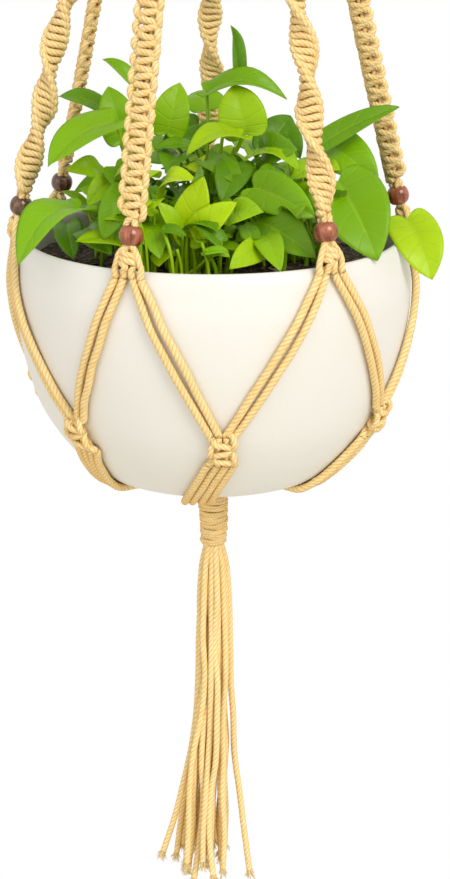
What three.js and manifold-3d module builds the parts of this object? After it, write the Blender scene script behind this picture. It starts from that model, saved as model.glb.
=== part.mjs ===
// Hanging macrame planter: a wooden ring, six knotted cotton arms with wooden beads, a cradle of cord pairs
// round a ceramic bowl, a tassel under it, and a potted climbing plant. Millimetres, +Z up, front towards -Y.
// The origin is the point inside the top of the ring where a hook bears.
import * as THREE from "three";
import { mergeVertices } from "three/addons/utils/BufferGeometryUtils.js";
import Module from "manifold-3d";

const wasm = await Module();
wasm.setup();

// Fits
const GAP = 0.3; // between pieces that touch
const STANDOFF = 0.7; // between the bowl and the soft pieces that hug it
const SWING = 20; // degrees that the hanger rocks on the ring, each way

// Cord and knots
const CORD = 4.4; // one loose cotton cord
const KNOT_WIDTH = 14.2; // knotted band of two fillers and two working cords
const KNOT_THICK = 7;
const SPIRAL_HALF_TURN = 32.5; // length over which a spiral band turns half round
const WRAP_YARN = 2.4; // yarn of the two gathering wraps

// Ring and top
const RING_RADIUS = 27.5; // centre line
const RING_WIRE = 9;
const LOOP_SPREAD = 64; // degrees of the ring that the cord loops cover
const FUNNEL_DROP = 12; // from the ring's foot to the top wrap
const TOP_CORE_RADIUS = 10;
const TOP_WRAP_LENGTH = 38;

// Arms
const ARM_DROP = 380; // from the top wrap's foot down to the bowl's rim
const ARM_TOP_RADIUS = 13.5; // circle on which the arms leave the wrap
const LOOSE_LENGTH = 62; // unknotted cords between the wrap and the bands
const CROWN_KNOT_LENGTH = 12.7; // knot between the bead and the rim
const BEAD_RADIUS = 6.25;
const BEAD_LENGTH = 10;
const BEAD_BORE_RADIUS = 3.25;
const ARMS = [
  // turned: degrees between the foot of the knotted band and the tangent of the rim.
  // knotShift: degrees by which the next cradle knot stands beyond the middle of the two arms.
  { name: "front_left", azimuth: 248, band: "square", turned: 0, knotShift: -2.5 },
  { name: "front_right", azimuth: 303, band: "spiral", turned: 86, knotShift: -5 },
  { name: "right", azimuth: 368, band: "square", turned: 35, knotShift: 0 },
  { name: "back", azimuth: 452, band: "spiral", turned: 142, knotShift: 0 },
  { name: "back_left", azimuth: 508, band: "square", turned: 38, knotShift: 0 },
  { name: "left", azimuth: 550, band: "spiral", turned: 14, knotShift: 7.5 },
];
const TOP_FIRST_AZIMUTH = 245; // the arms leave the wrap evenly, from this azimuth on
const FULL_TURN = 360;

// Bowl and soil
const POT_RADIUS = 106.5; // outside of the rim
const POT_HEIGHT = 133.6;
const POT_WALL = 5;
const POT_FLOOR = 7;
const LIP_OUTER = 0.3; // the flat of the lip, in shares of the wall inwards
const LIP_INNER = 0.75;
const SOIL_DEPTH = 15; // soil's edge below the rim
const SOIL_MOUND = 3; // soil's middle above its edge
const POT_SIDE = [
  // [share of the rim radius, share of the height below the rim]
  [1, 0.012],
  [1.028, 0.09],
  [1.047, 0.2],
  [1.035, 0.37],
  [0.998, 0.54],
  [0.942, 0.69],
  [0.86, 0.81],
  [0.775, 0.9],
  [0.7, 0.962],
  [0.62, 1],
];

// Cradle and tassel
const CRADLE_DEPTH = 92; // cradle knots below the rim
const CRADLE_KNOT_WIDTH = 15.6;
const CRADLE_KNOT_LENGTH = 16;
const SWIRL = -10; // degrees that the cords drift between a cradle knot and the base
const GATHER_RADIUS = 24.5; // circle under the base where the cords turn down
const GATHER_DROP = 15; // from the base to the gathering wrap
const BASE_CORE_RADIUS = 6;
const BASE_WRAP_LENGTH = 40;
const TASSEL_LENGTH = 235;

const TOP_WRAP_TOP_Z = -(RING_RADIUS * 2 + FUNNEL_DROP);
const TOP_WRAP_FOOT_Z = TOP_WRAP_TOP_Z - TOP_WRAP_LENGTH;
const RIM_Z = TOP_WRAP_FOOT_Z - ARM_DROP;

const COTTON = { color: 0xe0b777, roughness: 0.95, metalness: 0 };
const PALE_WOOD = { color: 0xc99a62, roughness: 0.5, metalness: 0 };
const RED_WOOD = { color: 0x7d3a2c, roughness: 0.3, metalness: 0 };
const DARK_WOOD = { color: 0x4a2f24, roughness: 0.3, metalness: 0 };
const CERAMIC = { color: 0xf1ece0, roughness: 0.45, metalness: 0 };
const SOIL = { color: 0x2f271f, roughness: 1, metalness: 0 };
const LEAF = { color: 0x6fae1f, roughness: 0.4, metalness: 0 };

// A curve whose section is steered: across(t) is the direction of the section's width.
class SteeredCurve extends THREE.Curve {
  constructor(point, across) {
    super();
    this.point = point;
    this.across = across;
  }

  getPoint(t, target = new THREE.Vector3()) {
    return target.copy(this.point(t));
  }

  computeFrenetFrames(segments) {
    const frames = { tangents: [], normals: [], binormals: [] };
    for (let i = 0; i <= segments; i += 1) {
      const tangent = this.getTangentAt(i / segments);
      const side = this.across(this.getUtoTmapping(i / segments)).clone();
      side.addScaledVector(tangent, -side.dot(tangent)).normalize();
      frames.tangents.push(tangent);
      frames.normals.push(side);
      frames.binormals.push(new THREE.Vector3().crossVectors(tangent, side));
    }
    return frames;
  }
}

function polar(radius, degrees, z) {
  const angle = THREE.MathUtils.degToRad(degrees);
  return new THREE.Vector3(radius * Math.cos(angle), radius * Math.sin(angle), z);
}

function aroundDirection(degrees) {
  return polar(1, degrees + 90, 0);
}

// An oval section whose flats lie at the given width and thickness.
function ovalSection(width, thick, sides = 8) {
  const reach = 0.5 / Math.cos(Math.PI / sides);
  const points = [];
  for (let i = 0; i < sides; i += 1) {
    const angle = ((i + 0.5) * 2 * Math.PI) / sides;
    points.push(new THREE.Vector2(width * reach * Math.cos(angle), thick * reach * Math.sin(angle)));
  }
  return new THREE.Shape(points);
}

function sweep(section, path, steps) {
  return new THREE.ExtrudeGeometry(section, { steps, bevelEnabled: false, extrudePath: path });
}

function straight(from, to, across) {
  return new SteeredCurve((t) => from.clone().lerp(to, t), () => across);
}

function toSolid(geometry) {
  const bare = geometry.index ? geometry.toNonIndexed() : geometry.clone();
  bare.deleteAttribute("normal");
  bare.deleteAttribute("uv");
  const merged = mergeVertices(bare, 1e-3);
  const mesh = new wasm.Mesh({
    numProp: 3,
    vertProperties: merged.attributes.position.array,
    triVerts: new Uint32Array(merged.index.array),
  });
  return new wasm.Manifold(mesh);
}

function toGeometry(solid) {
  const mesh = solid.getMesh();
  const geometry = new THREE.BufferGeometry();
  geometry.setAttribute("position", new THREE.BufferAttribute(mesh.vertProperties, mesh.numProp));
  geometry.setIndex(new THREE.BufferAttribute(mesh.triVerts, 1));
  return geometry;
}

function piece(name, geometry, finish) {
  const mesh = new THREE.Mesh(geometry, new THREE.MeshStandardMaterial(finish));
  mesh.name = name;
  return mesh;
}

// LatheGeometry turns about Y; the turned pieces here stand along Z.
function turned(profile, segments) {
  const points = profile.map(([radius, z]) => new THREE.Vector2(radius, z));
  return new THREE.LatheGeometry(points, segments).rotateX(Math.PI / 2);
}

// ---- Ring and top of the hanger ----

function ringTorus(wire) {
  return new THREE.TorusGeometry(RING_RADIUS, wire / 2, 10, 32).rotateX(Math.PI / 2);
}

const RING_CENTRE_Z = -(RING_RADIUS - RING_WIRE / 2);
const RING_FOOT_Z = RING_CENTRE_Z - RING_RADIUS;
const LOOP_THICK = RING_WIRE + 2 * GAP + 2 * CORD;

function hangingRing() {
  const ring = piece("hanging_ring", ringTorus(RING_WIRE), PALE_WOOD);
  ring.position.z = RING_CENTRE_Z;
  return ring;
}

// The loops round the ring: a sleeve along its foot, closed at both ends, that narrows into the cord bundle.
function cordLoops() {
  const half = THREE.MathUtils.degToRad(LOOP_SPREAD / 2);
  const alongFoot = new SteeredCurve(
    (t) => {
      const angle = (2 * t - 1) * half;
      return new THREE.Vector3(
        RING_RADIUS * Math.sin(angle),
        0,
        RING_CENTRE_Z - RING_RADIUS * Math.cos(angle),
      );
    },
    () => new THREE.Vector3(0, 1, 0),
  );
  const sleeve = toSolid(sweep(ovalSection(LOOP_THICK, LOOP_THICK, 10), alongFoot, 8));
  const spread = RING_RADIUS * Math.sin(half);
  const funnel = turned(
    [
      [0, TOP_WRAP_FOOT_Z],
      [TOP_CORE_RADIUS, TOP_WRAP_FOOT_Z],
      [TOP_CORE_RADIUS, TOP_WRAP_TOP_Z + GAP],
      [spread, RING_FOOT_Z],
      [0, RING_FOOT_Z],
    ],
    20,
  );
  const core = toSolid(funnel);
  let body = sleeve.add(core);
  for (let tilt = -SWING; tilt <= SWING; tilt += SWING) {
    const swept = ringTorus(RING_WIRE + 2 * GAP);
    swept.translate(0, 0, RING_RADIUS);
    swept.rotateX(THREE.MathUtils.degToRad(tilt));
    swept.translate(0, 0, RING_FOOT_Z);
    body = body.subtract(toSolid(swept));
  }
  return piece("cord_loops", toGeometry(body), COTTON);
}

function wrapTube(name, coreRadius, topZ, length) {
  const inner = coreRadius + GAP;
  const outer = inner + WRAP_YARN;
  const tube = turned(
    [
      [inner, topZ - length],
      [outer, topZ - length],
      [outer, topZ],
      [inner, topZ],
      [inner, topZ - length],
    ],
    24,
  );
  return piece(name, tube, COTTON);
}

// ---- Bowl ----

function potPoint([radiusShare, depthShare]) {
  return [POT_RADIUS * radiusShare, RIM_Z - POT_HEIGHT * depthShare];
}

const POT_OUTSIDE = POT_SIDE.map(potPoint);
const POT_BASE_Z = RIM_Z - POT_HEIGHT;
const POT_INSIDE = POT_OUTSIDE.slice(0, -2).map(([radius, z]) => [radius - POT_WALL, z]);

function bowl() {
  const floorZ = POT_BASE_Z + POT_FLOOR;
  const inside = POT_INSIDE.filter(([, z]) => z > floorZ + POT_WALL).reverse();
  const profile = [
    [0, POT_BASE_Z],
    ...POT_OUTSIDE.slice().reverse(),
    [POT_RADIUS - POT_WALL * LIP_OUTER, RIM_Z],
    [POT_RADIUS - POT_WALL * LIP_INNER, RIM_Z],
    ...inside.slice().reverse(),
    [inside[0][0] - POT_WALL * 2, floorZ],
    [0, floorZ],
  ];
  return piece("pot", turned(profile, 40), CERAMIC);
}

function soil() {
  const topZ = RIM_Z - SOIL_DEPTH;
  const inside = POT_INSIDE.filter(([, z]) => z < topZ && z > POT_BASE_Z + POT_FLOOR + POT_WALL);
  const clear = POT_RADIUS * (1 - Math.cos(Math.PI / 24)) + GAP;
  const side = inside.map(([radius, z]) => [radius - clear, z]).reverse();
  const profile = [
    [0, side[0][1]],
    ...side,
    [POT_RADIUS - POT_WALL - clear, topZ],
    [POT_RADIUS * 0.6, topZ + (SOIL_MOUND * 2) / 3],
    [0, topZ + SOIL_MOUND],
  ];
  return piece("soil", turned(profile, 24), SOIL);
}

// The line that a soft piece follows down the outside of the bowl and in under its base, at a distance from it.
function huggingLine(distance) {
  const outline = [...POT_OUTSIDE, [POT_RADIUS * 0.5, POT_BASE_Z], [POT_RADIUS * 0.15, POT_BASE_Z]];
  const points = outline.map(([radius, z], i) => {
    const before = outline[Math.max(i - 1, 0)];
    const after = outline[Math.min(i + 1, outline.length - 1)];
    const along = new THREE.Vector2(after[0] - before[0], after[1] - before[1]).normalize();
    return new THREE.Vector2(radius - along.y * distance, z + along.x * distance);
  });
  return new THREE.SplineCurve(points);
}

const BISECTIONS = 30;

// The share of a hugging line's length at which it passes a depth below the rim.
function shareAtDepth(line, depth) {
  let low = 0;
  let high = 1;
  for (let i = 0; i < BISECTIONS; i += 1) {
    const middle = (low + high) / 2;
    if (line.getPointAt(middle).y > RIM_Z - depth) low = middle;
    else high = middle;
  }
  return low;
}

// The share of a hugging line's length at which it comes in to a radius under the base.
function shareAtRadius(line, radius) {
  let low = 0.5;
  let high = 1;
  for (let i = 0; i < BISECTIONS; i += 1) {
    const middle = (low + high) / 2;
    if (line.getPointAt(middle).x > radius) low = middle;
    else high = middle;
  }
  return low;
}

function onBowl(line, share, azimuth) {
  const spot = line.getPointAt(share);
  return polar(spot.x, azimuth, spot.y);
}

// ---- Arms ----

// An arm runs straight from the rim (distance 0) up to the top wrap.
function armLine(arm, index) {
  const rim = polar(POT_RADIUS + KNOT_THICK / 2 + GAP, arm.azimuth, RIM_Z);
  const topAzimuth = TOP_FIRST_AZIMUTH + (index * FULL_TURN) / ARMS.length;
  const top = polar(ARM_TOP_RADIUS, topAzimuth, TOP_WRAP_FOOT_Z - GAP - CORD * 0.22);
  const along = top.clone().sub(rim).normalize();
  const across = aroundDirection(arm.azimuth);
  across.addScaledVector(along, -across.dot(along)).normalize();
  return { rim, along, across, length: rim.distanceTo(top) };
}

function alongArm(line, distance) {
  return line.rim.clone().addScaledVector(line.along, distance);
}

const CROWN_START = 0.6;
const BEAD_START = CROWN_START + CROWN_KNOT_LENGTH + GAP;
const BAND_START = BEAD_START + BEAD_LENGTH + 3 * GAP;

function armBand(arm, line) {
  const bandEnd = line.length - LOOSE_LENGTH;
  const from = alongArm(line, BAND_START);
  const to = alongArm(line, bandEnd);
  const bandLength = bandEnd - BAND_START;
  const spiral = arm.band === "spiral";
  const turn = spiral ? (Math.PI * bandLength) / SPIRAL_HALF_TURN : 0;
  const phase = THREE.MathUtils.degToRad(arm.turned);
  const path = new SteeredCurve(
    (t) => from.clone().lerp(to, t),
    (t) => line.across.clone().applyAxisAngle(line.along, phase - turn * t),
  );
  const steps = spiral ? Math.ceil((5 * bandLength) / SPIRAL_HALF_TURN) : 1;
  const band = toSolid(sweep(ovalSection(KNOT_WIDTH, KNOT_THICK, 6), path, steps));
  const looseFrom = alongArm(line, bandEnd - 1);
  const looseTo = alongArm(line, line.length);
  const loose = sweep(ovalSection(2 * CORD, 2 * CORD, 6), straight(looseFrom, looseTo, line.across), 1);
  return piece(arm.name + "_arm", toGeometry(band.add(toSolid(loose))), COTTON);
}

function bead(arm, line) {
  const half = BEAD_LENGTH / 2;
  const profile = [
    [BEAD_BORE_RADIUS, -half],
    [BEAD_RADIUS * 0.72, -half],
    [BEAD_RADIUS * 0.94, -half * 0.6],
    [BEAD_RADIUS, 0],
    [BEAD_RADIUS * 0.94, half * 0.6],
    [BEAD_RADIUS * 0.72, half],
    [BEAD_BORE_RADIUS, half],
    [BEAD_BORE_RADIUS, -half],
  ];
  const dark = arm.name.endsWith("left") && arm.name !== "front_left";
  const mesh = piece(arm.name + "_bead", turned(profile, 12), dark ? DARK_WOOD : RED_WOOD);
  mesh.position.copy(alongArm(line, BEAD_START + half));
  mesh.quaternion.setFromUnitVectors(new THREE.Vector3(0, 0, 1), line.along);
  return mesh;
}

// The knot under a bead, with the four cords that pass up through the bead's bore.
function crownKnot(arm, line) {
  const knotTop = CROWN_START + CROWN_KNOT_LENGTH;
  const knot = sweep(
    ovalSection(KNOT_WIDTH, KNOT_THICK),
    straight(alongArm(line, CROWN_START), alongArm(line, knotTop), line.across),
    1,
  );
  const neckWidth = 2 * (BEAD_BORE_RADIUS - GAP) * Math.cos(Math.PI / 8);
  const neck = sweep(
    ovalSection(neckWidth, neckWidth),
    straight(alongArm(line, knotTop - 1), alongArm(line, BAND_START - GAP), line.across),
    1,
  );
  return piece(arm.name + "_crown_knot", toGeometry(toSolid(knot).add(toSolid(neck))), COTTON);
}

// ---- Cradle ----

const PAIR_LINE = huggingLine(CORD / 2 + STANDOFF);
const KNOT_LINE = huggingLine(KNOT_THICK / 2 + STANDOFF);

// The cradle knot between an arm and the next one round.
function cradleKnotAzimuth(index) {
  const next = ARMS[(index + 1) % ARMS.length].azimuth;
  const here = ARMS[index].azimuth;
  return (here + (next > here ? next : next + FULL_TURN)) / 2 + ARMS[index].knotShift;
}

function cradleKnotSolid(index, grow) {
  const middle = shareAtDepth(KNOT_LINE, CRADLE_DEPTH);
  const half = (CRADLE_KNOT_LENGTH / 2 + grow) / KNOT_LINE.getLength();
  const azimuth = cradleKnotAzimuth(index);
  const path = new SteeredCurve(
    (t) => onBowl(KNOT_LINE, middle - half + 2 * half * t, azimuth),
    () => aroundDirection(azimuth),
  );
  return sweep(ovalSection(CRADLE_KNOT_WIDTH + 2 * grow, KNOT_THICK + 2 * grow), path, 2);
}

// Two cords side by side, from a crown knot at the rim to a cradle knot; side is -1 or 1 round the bowl.
function cordPair(name, armAzimuth, knotIndex, knotAzimuth, side) {
  const from = shareAtDepth(PAIR_LINE, 1.8);
  const to = shareAtDepth(PAIR_LINE, CRADLE_DEPTH - 2);
  const spread = THREE.MathUtils.radToDeg((CORD * 1.25) / POT_RADIUS);
  const start = armAzimuth + side * spread;
  const end = knotAzimuth - side * spread;
  const path = new SteeredCurve(
    (t) => onBowl(PAIR_LINE, from + (to - from) * t, start + (end - start) * t),
    (t) => aroundDirection(start + (end - start) * t),
  );
  const cords = toSolid(sweep(ovalSection(2 * CORD, CORD, 6), path, 9));
  return piece(name, toGeometry(cords.subtract(toSolid(cradleKnotSolid(knotIndex, GAP)))), COTTON);
}

// Four cords side by side, from a cradle knot round the foot of the bowl to the gathering point.
function baseSpan(name, index) {
  const knotLineMiddle = shareAtDepth(PAIR_LINE, CRADLE_DEPTH);
  const from = knotLineMiddle + (CRADLE_KNOT_LENGTH / 2 - 2) / PAIR_LINE.getLength();
  const to = shareAtRadius(PAIR_LINE, GATHER_RADIUS + GAP);
  const azimuth = cradleKnotAzimuth(index);
  const path = new SteeredCurve(
    (t) => onBowl(PAIR_LINE, from + (to - from) * t, azimuth + SWIRL * Math.min(1, 2 * t)),
    (t) => aroundDirection(azimuth + SWIRL * Math.min(1, 2 * t)),
  );
  const cords = toSolid(sweep(ovalSection(4 * CORD, CORD, 6), path, 13));
  return piece(name, toGeometry(cords.subtract(toSolid(cradleKnotSolid(index, GAP)))), COTTON);
}

// ---- Gather and tassel ----

const CORDS_UNDER_BASE_Z = POT_BASE_Z - STANDOFF;
const BASE_WRAP_TOP_Z = CORDS_UNDER_BASE_Z - GATHER_DROP;
const BASE_WRAP_FOOT_Z = BASE_WRAP_TOP_Z - BASE_WRAP_LENGTH;

function baseGather() {
  const profile = [
    [0, BASE_WRAP_FOOT_Z],
    [BASE_CORE_RADIUS, BASE_WRAP_FOOT_Z],
    [BASE_CORE_RADIUS, BASE_WRAP_TOP_Z + GAP],
    [GATHER_RADIUS - 2 * CORD, CORDS_UNDER_BASE_Z - CORD],
    [GATHER_RADIUS - GAP, CORDS_UNDER_BASE_Z - CORD / 2],
    [GATHER_RADIUS - 3 * GAP, CORDS_UNDER_BASE_Z],
    [0, CORDS_UNDER_BASE_Z],
  ];
  return piece("base_gather", turned(profile, 20), COTTON);
}

// The hanging cord ends, as one bundle with a cone above that leaves it free to swing under the wrap.
function tassel() {
  const top = BASE_WRAP_FOOT_Z - 2 * GAP;
  const profile = [
    [0, top - TASSEL_LENGTH],
    [25, top - TASSEL_LENGTH],
    [19, top - TASSEL_LENGTH * 0.68],
    [14, top - TASSEL_LENGTH * 0.42],
    [12, top - TASSEL_LENGTH * 0.15],
    [9, top - 6.5],
    [0, top],
  ];
  return piece("tassel", turned(profile, 20), COTTON);
}

// ---- Plant ----

// Leaves of each stem, in the bowl's frame: where the stalk meets the blade, where the tip is,
// the blade's width, and how far the blade is turned about its midrib in degrees.
const STEMS = {
  left_stem: {
    root: [-42, -12],
    leaves: [
      { at: [-52, -18, 60], tip: [-86, -38, 44], width: 32, turn: -10 },
      { at: [-58, 20, 56], tip: [-88, 26, 63], width: 24, turn: 10 },
      { at: [-44, 8, 78], tip: [-62, 8, 94], width: 16, turn: 20 },
      { at: [-42, 6, 52], tip: [-60, 4, 78], width: 24, turn: 30 },
      { at: [-66, -46, 20], tip: [-96, -76, 8], width: 34, turn: -25 },
      { at: [-48, -40, 34], tip: [-58, -66, 14], width: 24, turn: 10 },
    ],
  },
  middle_stem: {
    root: [0, 8],
    leaves: [
      { at: [15, 22, 84], tip: [10, 26, 112], width: 14, turn: 50 },
      { at: [-2, 20, 76], tip: [42, 12, 74], width: 24, turn: -20 },
      { at: [18, 0, 54], tip: [12, 8, 80], width: 28, turn: 10 },
      { at: [-24, 12, 52], tip: [-14, 18, 78], width: 24, turn: 0 },
      { at: [14, -8, 52], tip: [-10, -30, 44], width: 20, turn: 0 },
      { at: [14, -6, 36], tip: [4, -34, 24], width: 26, turn: 0 },
    ],
  },
  front_stem: {
    root: [-14, -58],
    leaves: [
      { at: [-14, -60, 10], tip: [-4, -66, 42], width: 22, turn: 0 },
      { at: [-6, -64, 12], tip: [14, -70, 28], width: 18, turn: 15 },
      { at: [-14, -40, 36], tip: [-32, -48, 30], width: 22, turn: 20 },
      { at: [-40, -62, 6], tip: [-66, -68, 8], width: 20, turn: 10 },
      { at: [24, -70, 8], tip: [8, -88, 2], width: 22, turn: -10 },
    ],
  },
  right_stem: {
    root: [46, -14],
    leaves: [
      { at: [34, 22, 42], tip: [44, 34, 62], width: 30, turn: 0 },
      { at: [26, -30, 32], tip: [54, -46, 20], width: 26, turn: 10 },
      { at: [30, -12, 38], tip: [50, -20, 38], width: 22, turn: 10 },
      { at: [34, -48, 14], tip: [54, -74, 4], width: 30, turn: 15 },
      { at: [60, 6, 46], tip: [76, -10, 34], width: 24, turn: 0 },
      { at: [70, -8, 48], tip: [92, -42, 6], width: 38, turn: -15 },
      { at: [60, 28, 48], tip: [96, 44, 68], width: 20, turn: 25 },
      { at: [104, -24, 12], tip: [118, -44, -16], width: 30, turn: -35 },
    ],
  },
  back_stem: {
    root: [-6, 54],
    leaves: [
      { at: [-24, 56, 34], tip: [-56, 76, 26], width: 32, turn: 0 },
      { at: [14, 62, 38], tip: [36, 88, 24], width: 32, turn: 0 },
      { at: [-2, 56, 60], tip: [-14, 78, 66], width: 26, turn: 0 },
      { at: [40, 52, 22], tip: [72, 62, 14], width: 28, turn: 0 },
      { at: [-40, 44, 18], tip: [-82, 48, 14], width: 28, turn: 0 },
    ],
  },
};
const PLANT_BOWL_RADIUS = 106.5; // rim radius of the bowl that these leaf places are for
const PLANT_SPREAD = POT_RADIUS / PLANT_BOWL_RADIUS;
const LEAF_THICK = 1.2;
const STALK = 2.6;
const ROOT_Z = RIM_Z - SOIL_DEPTH + SOIL_MOUND + GAP;

// A heart-shaped outline along +Y, from the notch where the stalk meets it to the tip.
function heartOutline(length, width) {
  const half = width / 2;
  const shape = new THREE.Shape();
  shape.moveTo(0, 0);
  shape.bezierCurveTo(half * 0.4, -length * 0.16, half, -length * 0.1, half, length * 0.22);
  shape.bezierCurveTo(half, length * 0.6, half * 0.35, length * 0.8, 0, length);
  shape.bezierCurveTo(-half * 0.35, length * 0.8, -half, length * 0.6, -half, length * 0.22);
  shape.bezierCurveTo(-half, -length * 0.1, -half * 0.4, -length * 0.16, 0, 0);
  return shape;
}

// A place in the plant, spread to the bowl's size and moved down to its rim.
function plantPlace([x, y, z]) {
  return new THREE.Vector3(x * PLANT_SPREAD, y * PLANT_SPREAD, z + RIM_Z);
}

function leafSolid(leaf) {
  const at = plantPlace(leaf.at);
  const along = plantPlace(leaf.tip).sub(at);
  const length = along.length();
  along.normalize();
  const across = new THREE.Vector3().crossVectors(along, new THREE.Vector3(0, -0.5, 1)).normalize();
  across.applyAxisAngle(along, THREE.MathUtils.degToRad(leaf.turn));
  const normal = new THREE.Vector3().crossVectors(across, along);
  const blade = new THREE.ExtrudeGeometry(heartOutline(length, leaf.width), {
    depth: LEAF_THICK,
    bevelEnabled: false,
    curveSegments: 3,
  });
  blade.applyMatrix4(new THREE.Matrix4().makeBasis(across, along, normal).setPosition(at));
  return toSolid(blade);
}

function stemWithLeaves(name, stem) {
  const root = plantPlace([...stem.root, 0]).setZ(ROOT_Z);
  let plant = toSolid(
    sweep(ovalSection(9, 9, 6), straight(root, root.clone().setZ(ROOT_Z + 5), new THREE.Vector3(1, 0, 0)), 1),
  );
  for (const leaf of stem.leaves) {
    const end = plantPlace(leaf.at);
    end.z += LEAF_THICK / 2;
    const start = root.clone().setZ(ROOT_Z + 2);
    const bend = start.clone().lerp(end, 0.45).setZ(THREE.MathUtils.lerp(start.z, end.z, 0.75));
    const rise = new THREE.QuadraticBezierCurve3(start, bend, end);
    plant = plant.add(toSolid(sweep(ovalSection(STALK, STALK, 4), rise, 3))).add(leafSolid(leaf));
  }
  return piece(name, toGeometry(plant), LEAF);
}

// ---- Assembly ----

const planter = new THREE.Group();
planter.add(hangingRing());
planter.add(cordLoops());
planter.add(wrapTube("top_wrap", TOP_CORE_RADIUS, TOP_WRAP_TOP_Z, TOP_WRAP_LENGTH));

ARMS.forEach((arm, index) => {
  const line = armLine(arm, index);
  planter.add(armBand(arm, line), bead(arm, line), crownKnot(arm, line));
  const before = (index + ARMS.length - 1) % ARMS.length;
  const nextKnot = cradleKnotAzimuth(index);
  const lastKnot = cradleKnotAzimuth(before) - (index === 0 ? FULL_TURN : 0);
  planter.add(cordPair(arm.name + "_pair_a", arm.azimuth, before, lastKnot, -1));
  planter.add(cordPair(arm.name + "_pair_b", arm.azimuth, index, nextKnot, 1));
  const number = index + 1;
  planter.add(piece("cradle_knot_" + number, cradleKnotSolid(index, 0), COTTON));
  planter.add(baseSpan("base_cords_" + number, index));
});

planter.add(baseGather());
planter.add(wrapTube("base_wrap", BASE_CORE_RADIUS, BASE_WRAP_TOP_Z, BASE_WRAP_LENGTH));
planter.add(tassel());
planter.add(bowl(), soil());
for (const [name, stem] of Object.entries(STEMS)) planter.add(stemWithLeaves(name, stem));

export default planter;
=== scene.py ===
"""Hanging macrame planter: knotted cotton cord, turned beads, a glazed bowl and a climbing plant."""

import logging
import math
from dataclasses import dataclass, field
from enum import Enum

import bpy
import numpy as np
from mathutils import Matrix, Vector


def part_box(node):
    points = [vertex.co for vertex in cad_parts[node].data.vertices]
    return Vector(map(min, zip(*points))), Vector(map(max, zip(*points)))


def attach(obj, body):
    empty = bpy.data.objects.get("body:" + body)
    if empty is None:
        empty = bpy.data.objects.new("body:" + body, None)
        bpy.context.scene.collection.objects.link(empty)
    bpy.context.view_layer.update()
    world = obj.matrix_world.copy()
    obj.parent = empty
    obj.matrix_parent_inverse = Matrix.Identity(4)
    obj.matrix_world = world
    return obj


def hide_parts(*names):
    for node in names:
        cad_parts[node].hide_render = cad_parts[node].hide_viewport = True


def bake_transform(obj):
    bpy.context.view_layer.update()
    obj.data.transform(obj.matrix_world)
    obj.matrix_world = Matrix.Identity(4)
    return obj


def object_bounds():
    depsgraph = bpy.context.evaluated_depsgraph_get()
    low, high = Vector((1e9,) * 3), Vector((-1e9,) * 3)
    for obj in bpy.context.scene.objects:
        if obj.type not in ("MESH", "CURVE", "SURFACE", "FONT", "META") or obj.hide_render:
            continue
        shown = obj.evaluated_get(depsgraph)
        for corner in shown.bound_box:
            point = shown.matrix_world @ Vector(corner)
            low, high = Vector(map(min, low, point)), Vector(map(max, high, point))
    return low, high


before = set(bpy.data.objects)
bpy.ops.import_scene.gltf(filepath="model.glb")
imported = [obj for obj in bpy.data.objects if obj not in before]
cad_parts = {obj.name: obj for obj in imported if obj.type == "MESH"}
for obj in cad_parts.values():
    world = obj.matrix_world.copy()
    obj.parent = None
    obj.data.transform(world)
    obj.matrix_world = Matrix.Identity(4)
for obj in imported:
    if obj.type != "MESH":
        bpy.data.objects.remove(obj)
CAD_BOX = [list(corner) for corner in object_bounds()]
log = logging.getLogger("planter")

# Sizes in metres, taken from the frame or shared with the part's own driving dimensions.
MM = 0.001
RIM_Z = float(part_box("pot")[1][2])
POT_HEIGHT = RIM_Z - float(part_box("pot")[0][2])
POT_BULGE = 1.047
POT_RADIUS = float(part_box("pot")[1][0]) / POT_BULGE
RING_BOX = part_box("hanging_ring")
TOP_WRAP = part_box("top_wrap")
BASE_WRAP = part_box("base_wrap")
CORD = 4.4 * MM
STRAND = 4.0 * MM
KNOT_THICK = 7 * MM
CROWN_START = 0.6 * MM
CROWN_KNOT_LENGTH = 12.7 * MM
BEAD_LENGTH = 10 * MM
BEAD_RADIUS = 6.25 * MM
BEAD_BORE_RADIUS = 3.25 * MM
GAP = 0.3 * MM
BEAD_START = CROWN_START + CROWN_KNOT_LENGTH + GAP
BAND_START = BEAD_START + BEAD_LENGTH + 3 * GAP
LOOSE_LENGTH = 62 * MM
ARM_TOP_RADIUS = 13.5 * MM
TOP_FIRST_AZIMUTH = 245.0
SPIRAL_HALF_TURN = 32.5 * MM
CRADLE_DEPTH = 92 * MM
CRADLE_KNOT_LENGTH = 16 * MM
SWIRL = -10.0
GATHER_RADIUS = 24.5 * MM
BASE_CORE_RADIUS = 6 * MM
TOP_CORE_RADIUS = 10 * MM
SOIL_DEPTH = 15 * MM
FULL_TURN = 360.0
TAU = 2 * math.pi
GOLDEN_ANGLE = math.pi * (3 - math.sqrt(5))
CORDS_PER_ARM = 4
WORKING_CORDS = (0, 3)
LANES = (-1.5, -0.5, 0.5, 1.5)
WHITE = (1.0, 1.0, 1.0, 1.0)
SEED = 11

Line = np.ndarray
Point = tuple[float, float, float]
Colour = tuple[float, float, float]


class Band(Enum):
    """How an arm is knotted."""

    SQUARE = "square"
    SPIRAL = "spiral"


@dataclass(frozen=True)
class ArmPlan:
    """Where an arm stands round the bowl and how it is knotted.

    The section of its band is turned by some degrees, and the cradle knot after it stands
    some degrees beyond the middle between this arm and the next. The spread says how far apart
    the two cords of each pair below it stand midway, in cord widths.
    """

    name: str
    azimuth: float
    band: Band
    turned: float = 0.0
    knot_shift: float = 0.0
    spread: tuple[float, float] = (1.25, 1.25)
    dark_bead: bool = False


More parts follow.
